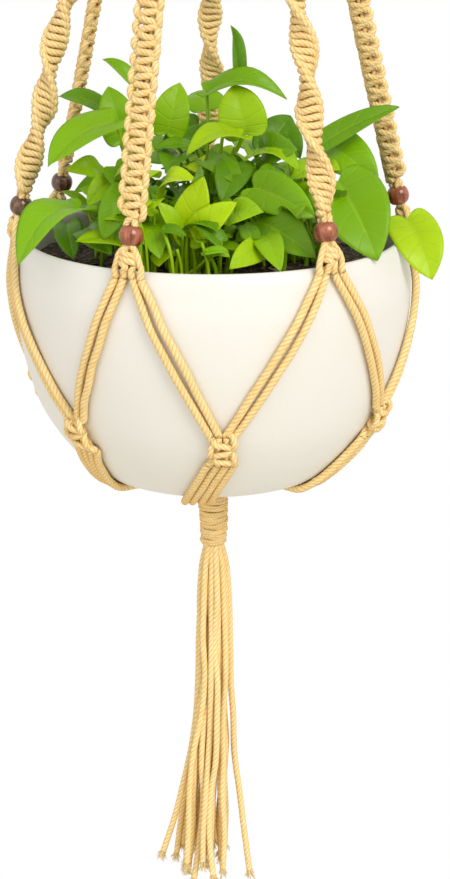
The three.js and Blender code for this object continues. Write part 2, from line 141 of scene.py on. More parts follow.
ARMS = (
    ArmPlan("front_left", 248.0, Band.SQUARE, 0.0, -2.5, (1.3, 1.6)),
    ArmPlan("front_right", 303.0, Band.SPIRAL, 86.0, -5.0, (1.5, 1.25)),
    ArmPlan("right", 368.0, Band.SQUARE, 35.0),
    ArmPlan("back", 452.0, Band.SPIRAL, 142.0),
    ArmPlan("back_left", 508.0, Band.SQUARE, 38.0, dark_bead=True),
    ArmPlan("left", 550.0, Band.SPIRAL, 14.0, 7.5, dark_bead=True),
)

CORD_COUNT = len(ARMS) * CORDS_PER_ARM


# ---- Lines ----


def vector(*values: float) -> Line:
    """A point or direction as an array."""
    return np.array(values, dtype=float)


def unit(direction: Line) -> Line:
    """The direction at length one."""
    return direction / np.linalg.norm(direction)


def polar(radius: float, degrees: float, height: float) -> Line:
    """A point at a radius and azimuth about the hanging axis."""
    angle = math.radians(degrees)
    return vector(radius * math.cos(angle), radius * math.sin(angle), height)


def around(degrees: float) -> Line:
    """The direction of rising azimuth at an azimuth."""
    return polar(1.0, degrees + 90.0, 0.0)


def smooth_line(points: list[Line], step: float) -> tuple[Line, Line]:
    """A smooth curve through points, with even spacing inside each stretch.

    Args:
        points: The points that the curve passes through.
        step: The spacing wanted between points of the result.

    Returns:
        The dense line, and the index in it of each given point.
    """
    given = np.array(points, dtype=float)
    padded = np.vstack([2 * given[0] - given[1], given, 2 * given[-1] - given[-2]])
    pieces = []
    marks = [0]
    for i in range(1, len(padded) - 2):
        before, start, end, after = padded[i - 1 : i + 3]
        count = max(1, int(round(np.linalg.norm(end - start) / step)))
        t = (np.arange(count) / count)[:, None]
        pieces.append(
            0.5
            * (
                2 * start
                + (end - before) * t
                + (2 * before - 5 * start + 4 * end - after) * t**2
                + (3 * start - before - 3 * end + after) * t**3
            )
        )
        marks.append(marks[-1] + count)
    pieces.append(given[-1:])
    return np.vstack(pieces), np.array(marks)


def line_length(line: Line) -> float:
    """The length of a line of points."""
    return float(np.linalg.norm(np.diff(line, axis=0), axis=1).sum())


def disc_spots(count: int, radius: float) -> list[tuple[float, float]]:
    """Evenly packed places in a disc, from the middle outwards."""
    spots = []
    for i in range(count):
        reach = radius * math.sqrt((i + 0.5) / count)
        angle = i * GOLDEN_ANGLE
        spots.append((reach * math.cos(angle), reach * math.sin(angle)))
    return spots


def soft_noise(rng: np.random.Generator, deviation: float, count: int, window: int) -> Line:
    """Random offsets, each averaged with its neighbours in a window."""
    return np.convolve(rng.normal(0.0, deviation, count), np.ones(window) / window, "same")


# ---- Meshes ----


@dataclass
class Grid:
    """A grid of vertices and its quads, open or closed along its rows and its columns."""

    rows: int
    columns: int
    close_rows: bool = False
    close_columns: bool = False

    def quads(self) -> tuple[Line, Line, Line]:
        """The quads' vertices, and the row and the column of each corner."""
        i = np.arange(self.rows if self.close_rows else self.rows - 1)
        j = np.arange(self.columns if self.close_columns else self.columns - 1)
        i, j = (axis.ravel() for axis in np.meshgrid(i, j, indexing="ij"))
        row = np.stack([i, i, i + 1, i + 1], axis=1)
        column = np.stack([j, j + 1, j + 1, j], axis=1)
        return (row % self.rows) * self.columns + column % self.columns, row, column


@dataclass
class MeshMaker:
    """Gathers closed shells of one piece, with a depth and a tone on each vertex."""

    points: list[Line] = field(default_factory=list)
    polygons: list[Line] = field(default_factory=list)
    uvs: list[Line] = field(default_factory=list)
    depth: list[Line] = field(default_factory=list)
    tone: list[Line] = field(default_factory=list)
    count: int = 0

    def add(
        self,
        points: Line,
        polygons: list[Line],
        uvs: list[Line],
        depth: Line | float = 1.0,
        tone: Line | float = 0.5,
    ) -> None:
        """Adds a shell.

        Args:
            points: Its vertices.
            polygons: Blocks of faces with the same number of corners, counted from its first vertex.
            uvs: A place for each corner of each face, in the same blocks.
            depth: How far out of its grooves each vertex lies, from 0 to 1.
            tone: The shade of each vertex, from 0 to 1.
        """
        self.points.append(points)
        self.polygons.extend(block + self.count for block in polygons)
        self.uvs.extend(uvs)
        self.depth.append(np.broadcast_to(np.asarray(depth, float), len(points)))
        self.tone.append(np.broadcast_to(np.asarray(tone, float), len(points)))
        self.count += len(points)

    def build(self, name: str) -> bpy.types.Object:
        """Makes the piece's object and links it to the scene."""
        mesh = bpy.data.meshes.new(name)
        places = np.vstack(self.points).astype(np.float32)
        corners = np.concatenate([block.ravel() for block in self.polygons]).astype(np.int32)
        totals = np.concatenate([np.full(len(block), block.shape[1]) for block in self.polygons])
        starts = np.concatenate([[0], np.cumsum(totals)[:-1]]).astype(np.int32)
        mesh.vertices.add(len(places))
        mesh.vertices.foreach_set("co", places.ravel())
        mesh.loops.add(len(corners))
        mesh.loops.foreach_set("vertex_index", corners)
        mesh.polygons.add(len(totals))
        mesh.polygons.foreach_set("loop_start", starts)
        mesh.polygons.foreach_set("use_smooth", np.ones(len(totals), dtype=bool))
        mesh.update(calc_edges=True)
        layer = mesh.uv_layers.new(name="surface")
        flat = np.concatenate([block.reshape(-1, 2) for block in self.uvs])
        layer.data.foreach_set("uv", flat.astype(np.float32).ravel())
        for label, values in (("depth", self.depth), ("tone", self.tone)):
            attribute = mesh.attributes.new(label, "FLOAT", "POINT")
            attribute.data.foreach_set("value", np.concatenate(values).astype(np.float32))
        made = bpy.data.objects.new(name, mesh)
        bpy.context.scene.collection.objects.link(made)
        return made


@dataclass(frozen=True)
class CordKind:
    """The make of a twisted cord: its diameter, plies, lay in diameters and depth of groove."""

    diameter: float
    plies: int = 4
    lay: float = 2.7
    groove: float = 0.11
    sides: int = 16
    step: float = 1.1 * MM


LOOSE_CORD = CordKind(CORD)
BAND_CORD = CordKind(3.75 * MM, lay=2.6, groove=0.14, step=1.0 * MM)
FILLER_CORD = CordKind(3.4 * MM, sides=8, step=2.5 * MM)
TASSEL_CORD = CordKind(STRAND, lay=3.4, groove=0.08)
WRAP_YARN = CordKind(2.1 * MM, plies=3, lay=2.4, groove=0.16, sides=12, step=0.8 * MM)
FRAY_FIBRE = CordKind(0.9 * MM, plies=1, groove=0.0, sides=4, step=2.0 * MM)


def add_cord(
    maker: MeshMaker,
    line: Line,
    kind: CordKind,
    tone: float = 0.5,
    phase: float = 0.0,
    taper: Line | None = None,
) -> None:
    """Adds a closed tube of twisted cord along a line.

    Args:
        maker: The piece that it belongs to.
        line: The cord's centre, closely spaced.
        kind: The make of the cord.
        tone: Its shade, from 0 to 1.
        phase: How far round the plies start, in radians.
        taper: The share of the full diameter at each point of the line.
    """
    tangent = np.gradient(line, axis=0)
    tangent /= np.maximum(np.linalg.norm(tangent, axis=1), 1e-9)[:, None]
    side = np.cross(tangent[0], vector(0.3, 0.2, 0.93))
    sides = np.empty_like(line)
    for i, direction in enumerate(tangent):
        side = side - direction * direction.dot(side)
        side = side / math.sqrt(side.dot(side))
        sides[i] = side
    other = np.cross(tangent, sides)
    run = np.concatenate([[0.0], np.cumsum(np.linalg.norm(np.diff(line, axis=0), axis=1))])
    turn = phase + (TAU * run / (kind.lay * kind.diameter) if kind.plies > 1 else 0.0 * run)
    spoke = TAU * np.arange(kind.sides) / kind.sides
    angle = turn[:, None] + spoke[None, :]
    crest = np.abs(np.cos(kind.plies * spoke / 2)) ** 0.8 if kind.groove else np.ones(kind.sides)
    reach = kind.diameter / 2 * (1 - kind.groove * (1 - crest))[None, :]
    if taper is not None:
        reach = reach * taper[:, None]
    points = (
        line[:, None, :]
        + sides[:, None, :] * (np.cos(angle) * reach)[:, :, None]
        + other[:, None, :] * (np.sin(angle) * reach)[:, :, None]
    )
    rows = len(line)
    quads, row, column = Grid(rows, kind.sides, close_columns=True).quads()
    long = run / kind.diameter
    caps = [np.arange(kind.sides)[None, ::-1], (rows - 1) * kind.sides + np.arange(kind.sides)[None, :]]
    quad_uvs = np.stack([column / kind.sides, long[row]], axis=-1)
    cap_uvs = [np.tile([0.5, end], (1, kind.sides, 1)) for end in (long[0], long[-1])]
    maker.add(points.reshape(-1, 3), [quads, *caps], [quad_uvs, *cap_uvs], np.tile(crest, rows), tone)


def add_lathe(maker: MeshMaker, profile: list[tuple[float, float]], segments: int) -> None:
    """Adds a turned shape about Z from a profile of (radius, height) that starts and ends on the axis."""
    angles = np.linspace(0, TAU, segments, endpoint=False)
    inner = np.array(profile[1:-1])
    rows = len(inner)
    ring = np.stack([np.cos(angles), np.sin(angles)], axis=-1)
    flat = inner[:, None, 0:1] * ring[None, :, :]
    height = np.broadcast_to(inner[:, None, 1:2], (rows, segments, 1))
    points = np.concatenate([flat, height], axis=-1).reshape(-1, 3)
    ends = np.array([(0.0, 0.0, profile[0][1]), (0.0, 0.0, profile[-1][1])])
    quads, row, column = Grid(rows, segments, close_columns=True).quads()
    here = np.arange(segments)
    following = (here + 1) % segments
    first = np.stack([np.full(segments, len(points)), following, here], axis=1)
    last = (rows - 1) * segments
    final = np.stack([np.full(segments, len(points) + 1), last + here, last + following], axis=1)
    uvs = [np.stack([column / segments, row / rows], axis=-1)]
    for block, end in ((first, 0.0), (final, 1.0)):
        uvs.append(np.stack([block % segments / segments, np.full(block.shape, end)], axis=-1))
    maker.add(np.vstack([points, ends]), [quads, first, final], uvs)


# ---- Finishes ----


def add_node(tree: bpy.types.NodeTree, kind: str, **settings: object) -> bpy.types.Node:
    """Adds a node with its settings to a tree."""
    node = tree.nodes.new(kind)
    for label, amount in settings.items():
        setattr(node, label, amount)
    return node


def link_all(tree: bpy.types.NodeTree, *pairs: tuple[bpy.types.NodeSocket, bpy.types.NodeSocket]) -> None:
    """Links each source socket to its target."""
    for source, target in pairs:
        tree.links.new(source, target)


def new_group(
    name: str, inputs: dict[str, float]
) -> tuple[bpy.types.NodeTree, bpy.types.Node, bpy.types.Node]:
    """Makes a node group with float inputs and one output, its mask.

    Args:
        name: The group's name.
        inputs: Each input's name and default.

    Returns:
        The tree, its input node and its output node.
    """
    tree = bpy.data.node_groups.new(name, "ShaderNodeTree")
    for label, amount in inputs.items():
        socket = tree.interface.new_socket(label, in_out="INPUT", socket_type="NodeSocketFloat")
        socket.default_value = amount
    tree.interface.new_socket("Mask", in_out="OUTPUT", socket_type="NodeSocketFloat")
    return tree, add_node(tree, "NodeGroupInput"), add_node(tree, "NodeGroupOutput")


def mottle_group() -> bpy.types.NodeTree:
    """The shared cloudy mask in object space, made once."""
    made = bpy.data.node_groups.get("cloudy_mottle")
    if made:
        return made
    tree, inlet, outlet = new_group("cloudy_mottle", {"Scale": 40.0, "Contrast": 1.0, "Roughness": 0.55})
    place = add_node(tree, "ShaderNodeTexCoord")
    noise = add_node(tree, "ShaderNodeTexNoise")
    noise.inputs["Detail"].default_value = 5.0
    spread = add_node(tree, "ShaderNodeMath", operation="SUBTRACT")
    spread.inputs[1].default_value = 0.5
    boost = add_node(tree, "ShaderNodeMath", operation="MULTIPLY")
    centre = add_node(tree, "ShaderNodeMath", operation="ADD", use_clamp=True)
    centre.inputs[1].default_value = 0.5
    link_all(
        tree,
        (place.outputs["Object"], noise.inputs["Vector"]),
        (inlet.outputs["Scale"], noise.inputs["Scale"]),
        (inlet.outputs["Roughness"], noise.inputs["Roughness"]),
        (noise.outputs[0], spread.inputs[0]),
        (spread.outputs[0], boost.inputs[0]),
        (inlet.outputs["Contrast"], boost.inputs[1]),
        (boost.outputs[0], centre.inputs[0]),
        (centre.outputs[0], outlet.inputs["Mask"]),
    )
    return tree


def grain_group() -> bpy.types.NodeTree:
    """The shared streak mask that follows a piece's own length, made once."""
    made = bpy.data.node_groups.get("running_grain")
    if made:
        return made
    tree, inlet, outlet = new_group("running_grain", {"Across": 20.0, "Along": 1.0})
    place = add_node(tree, "ShaderNodeUVMap", uv_map="surface")
    stretch = add_node(tree, "ShaderNodeCombineXYZ")
    stretch.inputs["Z"].default_value = 1.0
    product = add_node(tree, "ShaderNodeVectorMath", operation="MULTIPLY")
    noise = add_node(tree, "ShaderNodeTexNoise")
    noise.inputs["Scale"].default_value = 1.0
    noise.inputs["Detail"].default_value = 3.0
    link_all(
        tree,
        (inlet.outputs["Across"], stretch.inputs["X"]),
        (inlet.outputs["Along"], stretch.inputs["Y"]),
        (place.outputs["UV"], product.inputs[0]),
        (stretch.outputs[0], product.inputs[1]),
        (product.outputs[0], noise.inputs["Vector"]),
        (noise.outputs[0], outlet.inputs["Mask"]),
    )
    return tree


class Shader:
    """A material under construction: its nodes, its links and its surface shader."""

    def __init__(self, name: str) -> None:
        """Starts a node material with one surface shader."""
        self.material = bpy.data.materials.new(name)
        self.material.use_nodes = True
        self.tree = self.material.node_tree
        self.surface = self.tree.nodes["Principled BSDF"]

    def node(self, kind: str, **settings: object) -> bpy.types.Node:
        """Adds a node with its settings."""
        return add_node(self.tree, kind, **settings)

    def link(self, source: bpy.types.NodeSocket, target: bpy.types.NodeSocket) -> None:
        """Links two sockets."""
        self.tree.links.new(source, target)

    def feed(self, label: str, source: bpy.types.NodeSocket) -> None:
        """Links a socket to the surface shader."""
        self.link(source, self.surface.inputs[label])

    def values(self, amounts: dict[str, object]) -> None:
        """Sets values on the surface shader's own sockets."""
        for label, amount in amounts.items():
            self.surface.inputs[label].default_value = amount

    def blend(
        self,
        mask: bpy.types.NodeSocket,
        low: Colour | bpy.types.NodeSocket,
        high: Colour | bpy.types.NodeSocket,
    ) -> bpy.types.NodeSocket:
        """Blends two colours by a mask.

        Args:
            mask: The socket that chooses between them.
            low: The colour, or socket, where the mask is 0.
            high: The colour, or socket, where the mask is 1.

        Returns:
            The blended colour's socket.
        """
        mix = self.node("ShaderNodeMix", data_type="RGBA")
        self.link(mask, mix.inputs[0])
        for socket, colour in ((mix.inputs[6], low), (mix.inputs[7], high)):
            if isinstance(colour, tuple):
                socket.default_value = (*colour, 1.0)
            else:
                self.link(colour, socket)
        return mix.outputs[2]

    def remap(
        self,
        source: bpy.types.NodeSocket,
        low: float = 0.0,
        high: float = 1.0,
        start: float = 0.0,
        end: float = 1.0,
    ) -> bpy.types.NodeSocket:
        """Maps a value from the range low to high onto start to end."""
        node = self.node("ShaderNodeMapRange")
        self.link(source, node.inputs[0])
        for socket, amount in zip(list(node.inputs)[1:5], (low, high, start, end)):
            socket.default_value = amount
        return node.outputs[0]

    def maths(
        self, operation: str, source: bpy.types.NodeSocket, by: bpy.types.NodeSocket | float = 0.0
    ) -> bpy.types.NodeSocket:
        """Applies one sum to a value, with a second value or number."""
        node = self.node("ShaderNodeMath", operation=operation)
        self.link(source, node.inputs[0])
        if isinstance(by, float):
            node.inputs[1].default_value = by
        else:
            self.link(by, node.inputs[1])
        return node.outputs[0]

    def attribute(self, label: str) -> bpy.types.NodeSocket:
        """The value that the mesh carries under a name."""
        return self.node("ShaderNodeAttribute", attribute_name=label).outputs["Fac"]

    def bump(self, height: bpy.types.NodeSocket, distance: float, strength: float = 1.0) -> None:
        """Feeds a height to the shader's normal."""
        node = self.node("ShaderNodeBump")
        node.inputs["Strength"].default_value = strength
        node.inputs["Distance"].default_value = distance
        self.link(height, node.inputs["Height"])
        self.feed("Normal", node.outputs[0])

    def group(self, tree: bpy.types.NodeTree, **inputs: float) -> bpy.types.NodeSocket:
        """Places a shared mask with its own inputs."""
        node = self.node("ShaderNodeGroup")
        node.node_tree = tree
        for label, amount in inputs.items():
            node.inputs[label].default_value = amount
        return node.outputs["Mask"]

    def mottle(self, scale: float, contrast: float, roughness: float = 0.55) -> bpy.types.NodeSocket:
        """Places the shared cloudy mask with its own scale and contrast."""
        return self.group(mottle_group(), Scale=scale, Contrast=contrast, Roughness=roughness)

    def grain(self, across: float, along: float) -> bpy.types.NodeSocket:
        """Places the shared streak mask, fine across the piece and long along it."""
        return self.group(grain_group(), Across=across, Along=along)


@dataclass(frozen=True)
class CottonFinish:
    """Matt golden cotton: fibres along each ply, painted shade in the grooves and along the edges, and a
    soft sheen.
    """

    name: str = "cotton_cord"
    light: Colour = (1.0, 0.86, 0.49)
    tan: Colour = (0.98, 0.70, 0.28)
    # Painted shade: the colour laid into the grooves between the plies, where shade falls.
    groove: Colour = (0.86, 0.52, 0.16)
    # Painted shade: the darker colour laid along each cord's edges, where its surface turns away from view.
    edge: Colour = (0.82, 0.46, 0.13)
    cloud_scale: float = 240.0
    cloud_contrast: float = 3.6
    tone_share: float = 0.75
    fibre_across: float = 24.0
    fibre_along: float = 1.3
    fibre_share: float = 0.6
    fibre_height: float = 0.45 * MM
    groove_shade_depth: float = 0.8
    edge_shade_share: float = 0.8
    roughness: float = 0.95
    sheen: float = 0.06

    def material(self) -> bpy.types.Material:
        """Builds the material."""
        shader = Shader(self.name)
        fibres = shader.grain(self.fibre_across, self.fibre_along)
        body = shader.blend(shader.mottle(self.cloud_scale, self.cloud_contrast), self.tan, self.light)
        toned = shader.blend(shader.remap(shader.attribute("tone"), end=self.tone_share), body, self.light)
        strands = shader.blend(shader.remap(fibres, 0.34, 0.56, self.fibre_share, 0.0), toned, self.tan)
        # Painted shade in the grooves: the lower a vertex lies in its groove, the more it takes the groove
        # colour.
        depth = shader.remap(shader.attribute("depth"), high=self.groove_shade_depth)
        twisted = shader.blend(depth, self.groove, strands)
        # Painted shade along the edges: the colour darkens as the surface turns away from the viewer.
        turned_away = shader.node("ShaderNodeLayerWeight").outputs["Facing"]
        rim = shader.remap(turned_away, 0.5, 0.95, end=self.edge_shade_share)
        shader.feed("Base Color", shader.blend(rim, twisted, self.edge))
        shader.values(
            {
                "Roughness": self.roughness,
                "Sheen Weight": self.sheen,
                "Sheen Roughness": 0.5,
                "Specular IOR Level": 0.15,
            }
        )
        shader.bump(fibres, self.fibre_height, 0.8)
        return shader.material


@dataclass(frozen=True)
class WoodFinish:
    """Stained and lacquered turned wood with fine streaks."""

    name: str
    dark: Colour
    light: Colour
    roughness: float = 0.2
    coat: float = 0.8
    across: float = 14.0
    along: float = 3.0
    rougher: float = 0.12
    pore_depth: float = 0.06 * MM

    def material(self) -> bpy.types.Material:
        """Builds the material."""
        shader = Shader(self.name)
        streaks = shader.grain(self.across, self.along)
        shader.feed("Base Color", shader.blend(shader.remap(streaks, 0.38, 0.64), self.dark, self.light))
        polish = shader.remap(streaks, 0.3, 0.7, self.roughness, self.roughness + self.rougher)
        shader.feed("Roughness", polish)
        shader.values({"Coat Weight": self.coat, "Coat Roughness": 0.08})
        shader.bump(streaks, self.pore_depth, 0.5)
        return shader.material


@dataclass(frozen=True)
class GlazeFinish:
    """Warm white satin glaze with faint clouds, pinholes and a softly uneven surface."""

    name: str = "white_glaze"
    white: Colour = (0.825, 0.815, 0.78)
    shade: Colour = (0.775, 0.755, 0.70)
    cloud_scale: float = 14.0
    cloud_share: float = 0.55
    speck_scale: float = 900.0
    speck_share: float = 0.35
    ripple_scale: float = 45.0
    ripple_height: float = 0.25 * MM

    def material(self) -> bpy.types.Material:
        """Builds the material."""
        shader = Shader(self.name)
        clouds = shader.mottle(self.cloud_scale, 1.6)
        specks = shader.mottle(self.speck_scale, 6.0)
        base = shader.blend(shader.remap(clouds, 0.2, 0.9, end=self.cloud_share), self.white, self.shade)
        speckled = shader.blend(shader.remap(specks, 0.93, end=self.speck_share), base, self.shade)
        shader.feed("Base Color", speckled)
        shader.feed("Roughness", shader.remap(clouds, start=0.32, end=0.5))
        shader.values({"Coat Weight": 0.2, "Coat Roughness": 0.25})
        shader.bump(shader.mottle(self.ripple_scale, 1.0), self.ripple_height, 0.35)
        return shader.material


@dataclass(frozen=True)
class SoilFinish:
    """Moist dark potting soil with brown crumbs and pale dry bits."""

    name: str = "potting_soil"
    dark: Colour = (0.030, 0.021, 0.014)
    brown: Colour = (0.26, 0.17, 0.10)
    straw: Colour = (0.66, 0.50, 0.33)
    crumb_scale: float = 420.0
    crumb_height: float = 1.2 * MM

    def material(self) -> bpy.types.Material:
        """Builds the material."""
        shader = Shader(self.name)
        crumbs = shader.mottle(self.crumb_scale, 3.0, 0.7)
        tone = shader.attribute("tone")
        base = shader.blend(shader.remap(crumbs, 0.45), self.dark, self.brown)
        browner = shader.blend(shader.remap(tone, 0.3, 0.6, end=0.8), base, self.brown)
        paler = shader.blend(shader.remap(tone, 0.7, end=0.9), browner, self.straw)
        shader.feed("Base Color", paler)
        shader.feed("Roughness", shader.remap(crumbs, start=0.7, end=0.98))
        shader.bump(crumbs, self.crumb_height)
        return shader.material


@dataclass(frozen=True)
class LeafFinish:
    """Waxy leaf: tones from deep to yellow green, faint veins, a paler underside."""

    name: str = "leaf_green"
    deep: Colour = (0.07, 0.20, 0.004)
    mid: Colour = (0.20, 0.43, 0.002)
    fresh: Colour = (0.50, 0.71, 0.002)
    under: Colour = (0.19, 0.36, 0.035)
    vein: Colour = (0.36, 0.60, 0.04)
    side_veins: int = 7
    cloud_scale: float = 70.0
    vein_share: float = 0.05
    midrib_share: float = 0.3
    subsurface: float = 0.15
    subsurface_radius: Point = (1.0 * MM, 2.0 * MM, 0.5 * MM)
    relief_height: float = 0.5 * MM

    def material(self) -> bpy.types.Material:
        """Builds the material."""
        shader = Shader(self.name)
        tone = shader.attribute("tone")
        clouds = shader.mottle(self.cloud_scale, 2.0)
        darker = shader.blend(shader.remap(tone, 0.0, 0.5), self.deep, self.mid)
        green = shader.blend(shader.remap(tone, 0.5, 1.0), darker, self.fresh)
        varied = shader.blend(shader.remap(clouds, 0.3, end=0.3), green, self.mid)
        veins, midrib = self.vein_masks(shader)
        veined = shader.blend(shader.remap(veins, end=self.vein_share), varied, self.vein)
        ribbed = shader.blend(shader.remap(midrib, end=self.midrib_share), veined, self.vein)
        face = shader.remap(shader.attribute("depth"), 0.3, 0.7)
        pale = shader.blend(shader.remap(tone, end=0.7), self.under, self.fresh)
        shader.feed("Base Color", shader.blend(face, pale, ribbed))
        shader.feed("Roughness", shader.remap(clouds, start=0.3, end=0.45))
        shader.values(
            {
                "Specular IOR Level": 0.22,
                "Coat Weight": 0.06,
                "Coat Roughness": 0.2,
                "Subsurface Weight": self.subsurface,
                "Subsurface Radius": self.subsurface_radius,
            }
        )
        relief = shader.maths("MULTIPLY", veins, -0.5)
        shader.bump(shader.maths("ADD", relief, shader.remap(clouds, end=0.7)), self.relief_height, 0.6)
        return shader.material

    def vein_masks(self, shader: Shader) -> tuple[bpy.types.NodeSocket, bpy.types.NodeSocket]:
        """The side veins, which run from the midrib to the edge, and the midrib itself."""
        place = shader.node("ShaderNodeUVMap", uv_map="surface")
        split = shader.node("ShaderNodeSeparateXYZ")
        shader.link(place.outputs["UV"], split.inputs[0])
        off_rib = shader.maths("ABSOLUTE", shader.maths("SUBTRACT", split.outputs["X"], 0.5))
        crest = shader.maths("COSINE", shader.maths("MULTIPLY", split.outputs["Y"], TAU * self.side_veins))
        return shader.remap(crest, 0.8, 1.0, 0.0, 1.0), shader.remap(off_rib, 0.012, 0.04, 1.0, 0.0)


@dataclass(frozen=True)
class FloorFinish:
    """A plain pale studio floor that looks evenly white and bounces a dimmer, warmer light."""

    name: str = "studio_floor"
    bounce: Colour = (0.80, 0.76, 0.67)

    def material(self) -> bpy.types.Material:
        """Builds the material."""
        shader = Shader(self.name)
        seen = shader.node("ShaderNodeLightPath").outputs["Is Camera Ray"]
        glow = shader.node("ShaderNodeEmission")
        glow.inputs["Color"].default_value = WHITE
        shader.values({"Base Color": (*self.bounce, 1.0), "Roughness": 0.95})
        mix = shader.node("ShaderNodeMixShader")
        shader.link(seen, mix.inputs[0])
        shader.link(shader.surface.outputs[0], mix.inputs[1])
        shader.link(glow.outputs[0], mix.inputs[2])
        shader.link(mix.outputs[0], shader.tree.nodes["Material Output"].inputs["Surface"])
        return shader.material


# ---- The bowl's wall, which the cradle follows ----


POT_SIDE = (
    (1.0, 0.0),
    (1.012, 0.03),
    (1.028, 0.09),
    (1.047, 0.2),
    (1.035, 0.37),
    (0.998, 0.54),
    (0.942, 0.69),
    (0.86, 0.81),
    (0.775, 0.9),
    (0.7, 0.962),
    (0.62, 1.0),
)
POT_UNDER = (0.5, 0.3, 0.12, 0.02)


class BowlWall:
    """The outline that the cords follow down the bowl and in under its base."""

    soft_window: int = 25
    base_starts: float = 0.97
    aside_lift: float = 0.2

    def __init__(self) -> None:
        """Works out the outline, its running length and its outward direction."""
        side = [vector(POT_RADIUS * r, RIM_Z - POT_HEIGHT * z, 0.0) for r, z in POT_SIDE]
        base = [vector(POT_RADIUS * share, RIM_Z - POT_HEIGHT, 0.0) for share in POT_UNDER]
        outline, _ = smooth_line(side + base, 0.5 * MM)
        self.radius = outline[:, 0]
        self.height = np.maximum(outline[:, 1], RIM_Z - POT_HEIGHT)
        self.run = np.concatenate([[0.0], np.cumsum(np.hypot(np.diff(self.radius), np.diff(self.height)))])
        along = np.stack([np.gradient(self.radius), np.gradient(self.height)])
        along /= np.linalg.norm(along, axis=0)
        soften = np.ones(self.soft_window) / self.soft_window
        margin = self.soft_window // 2
        self.out_radius = np.convolve(np.pad(-along[1], margin, "edge"), soften, "valid")
        self.out_height = np.convolve(np.pad(along[0], margin, "edge"), soften, "valid")

    def at_depth(self, depth: float) -> float:
        """The running length at a depth below the rim."""
        return float(np.interp(depth, RIM_Z - self.height, self.run))

    def at_base_radius(self, radius: float) -> float:
        """The running length at a radius under the base."""
        flat = self.run > self.at_depth(POT_HEIGHT * self.base_starts)
        return float(np.interp(-radius, -self.radius[flat], self.run[flat]))

    def place(self, run: float, azimuth: float, aside: float, proud: float) -> Line:
        """A point near the wall.

        Args:
            run: How far down the outline, in metres.
            azimuth: The azimuth in degrees.
            aside: How far round the bowl from there, in metres.
            proud: How far out from the wall, in metres.

        Returns:
            The point in the row's frame.
        """
        radius = np.interp(run, self.run, self.radius) + proud * np.interp(run, self.run, self.out_radius)
        height = np.interp(run, self.run, self.height) + proud * np.interp(run, self.run, self.out_height)
        reach = math.hypot(radius, aside)
        turn = math.degrees(math.atan2(aside, radius))
        return polar(min(reach, radius + abs(aside) * self.aside_lift), azimuth + turn, height)


# ---- Knots ----


@dataclass(frozen=True)
class KnotShape:
    """The size of a run of half knots: pitch, reach of the edge cords, reach of the bars in front."""

    pitch: float
    edge: float
    front: float
    filler: float

    def scaled(self, points: tuple[Point, ...], sign: int, centre: float) -> list[Line]:
        """Scales unit points of (aside, front, down) to this size, mirrored if sign is -1."""
        return [
            vector(sign * aside * self.edge, front * self.front, centre + down * self.pitch)
            for aside, front, down in points
        ]


BAND_KNOT = KnotShape(3.9 * MM, 5.6 * MM, 2.1 * MM, 1.7 * MM)
CRADLE_KNOT = KnotShape(5.0 * MM, 5.5 * MM, 2.7 * MM, 2.0 * MM)
CRADLE_HALF_KNOTS = 3

# The cord that makes the bar in front, and the one that loops over its end and passes behind.
BAR_CORD: tuple[Point, ...] = (
    (-0.88, 0.25, -0.5),
    (-0.56, 0.9, -0.16),
    (0.0, 1.12, 0.0),
    (0.56, 0.9, 0.16),
)
LOOP_CORD: tuple[Point, ...] = (
    (0.66, -0.35, -1.05),
    (1.0, 0.45, -0.82),
    (1.14, 0.86, -0.2),
    (1.04, 0.5, 0.4),
    (0.66, -0.5, 0.58),
    (0.0, -1.1, 0.25),
)
SPIRAL_LOOP_CORD: tuple[Point, ...] = (
    (1.0, 0.72, -0.52),
    (1.14, 0.7, -0.18),
    (1.04, 0.3, 0.18),
    (0.66, -0.55, 0.36),
    (0.0, -1.05, 0.28),
    (-0.66, -0.6, 0.22),
)

# The crown knot in millimetres of (aside, front, down): a leg, and the two cords of its crossing bars.
CROWN_LEG: tuple[Point, ...] = ((2.6, 1.2, 1.2), (4.6, 1.6, 4.2), (6.2, 1.2, 8.0), (7.1, 0.4, 11.4))
CROWN_LOW_BARS: tuple[Point, ...] = (
    (-1.6, 0.6, 1.4),
    (-2.6, 2.6, 3.4),
    (0.0, 3.3, 4.4),
    (3.0, 2.2, 5.2),
    (3.4, -0.6, 6.2),
    (0.0, -2.2, 6.9),
    (-3.4, -0.6, 8.0),
    (-2.8, 2.4, 9.0),
    (-0.6, 3.0, 10.2),
    (-1.8, 1.4, 12.2),
)
CROWN_HIGH_BARS: tuple[Point, ...] = (
    (1.6, 0.4, 1.6),
    (1.6, -1.6, 3.4),
    (-1.8, -2.0, 4.6),
    (-3.4, 0.2, 5.6),
    (-2.6, 2.5, 6.5),
    (0.0, 3.4, 7.2),
    (3.0, 2.3, 8.0),
    (3.4, 0.2, 9.2),
    (2.4, 0.6, 11.0),
    (2.0, 1.0, 12.4),
)
CROWN_ROUTES = (CROWN_LEG, CROWN_LOW_BARS, CROWN_HIGH_BARS, CROWN_LEG)


def knot_run(shape: KnotShape, count: int, start: float, band: Band) -> tuple[list[Line], list[Line]]:
    """A run of half knots.

    Args:
        shape: The size of the knots.
        count: How many half knots.
        start: Where the run begins, down the band.
        band: Whether the half knots alternate or all turn the same way.

    Returns:
        The points of the cord that starts on the low side and of the one that starts on the high side.
    """
    low: list[Line] = []
    high: list[Line] = []
    for i in range(count):
        centre = start + (i + 0.5) * shape.pitch
        if band is Band.SPIRAL:
            bar = shape.scaled(BAR_CORD, 1, centre)
            loop = shape.scaled(SPIRAL_LOOP_CORD, 1, centre)
            low.extend(loop if i % 2 else bar)
            high.extend(bar if i % 2 else loop)
        else:
            sign = -1 if i % 2 else 1
            low.extend(shape.scaled(BAR_CORD, sign, centre))
            high.extend(shape.scaled(LOOP_CORD, sign, centre))
    return low, high


# ---- Materials in use ----


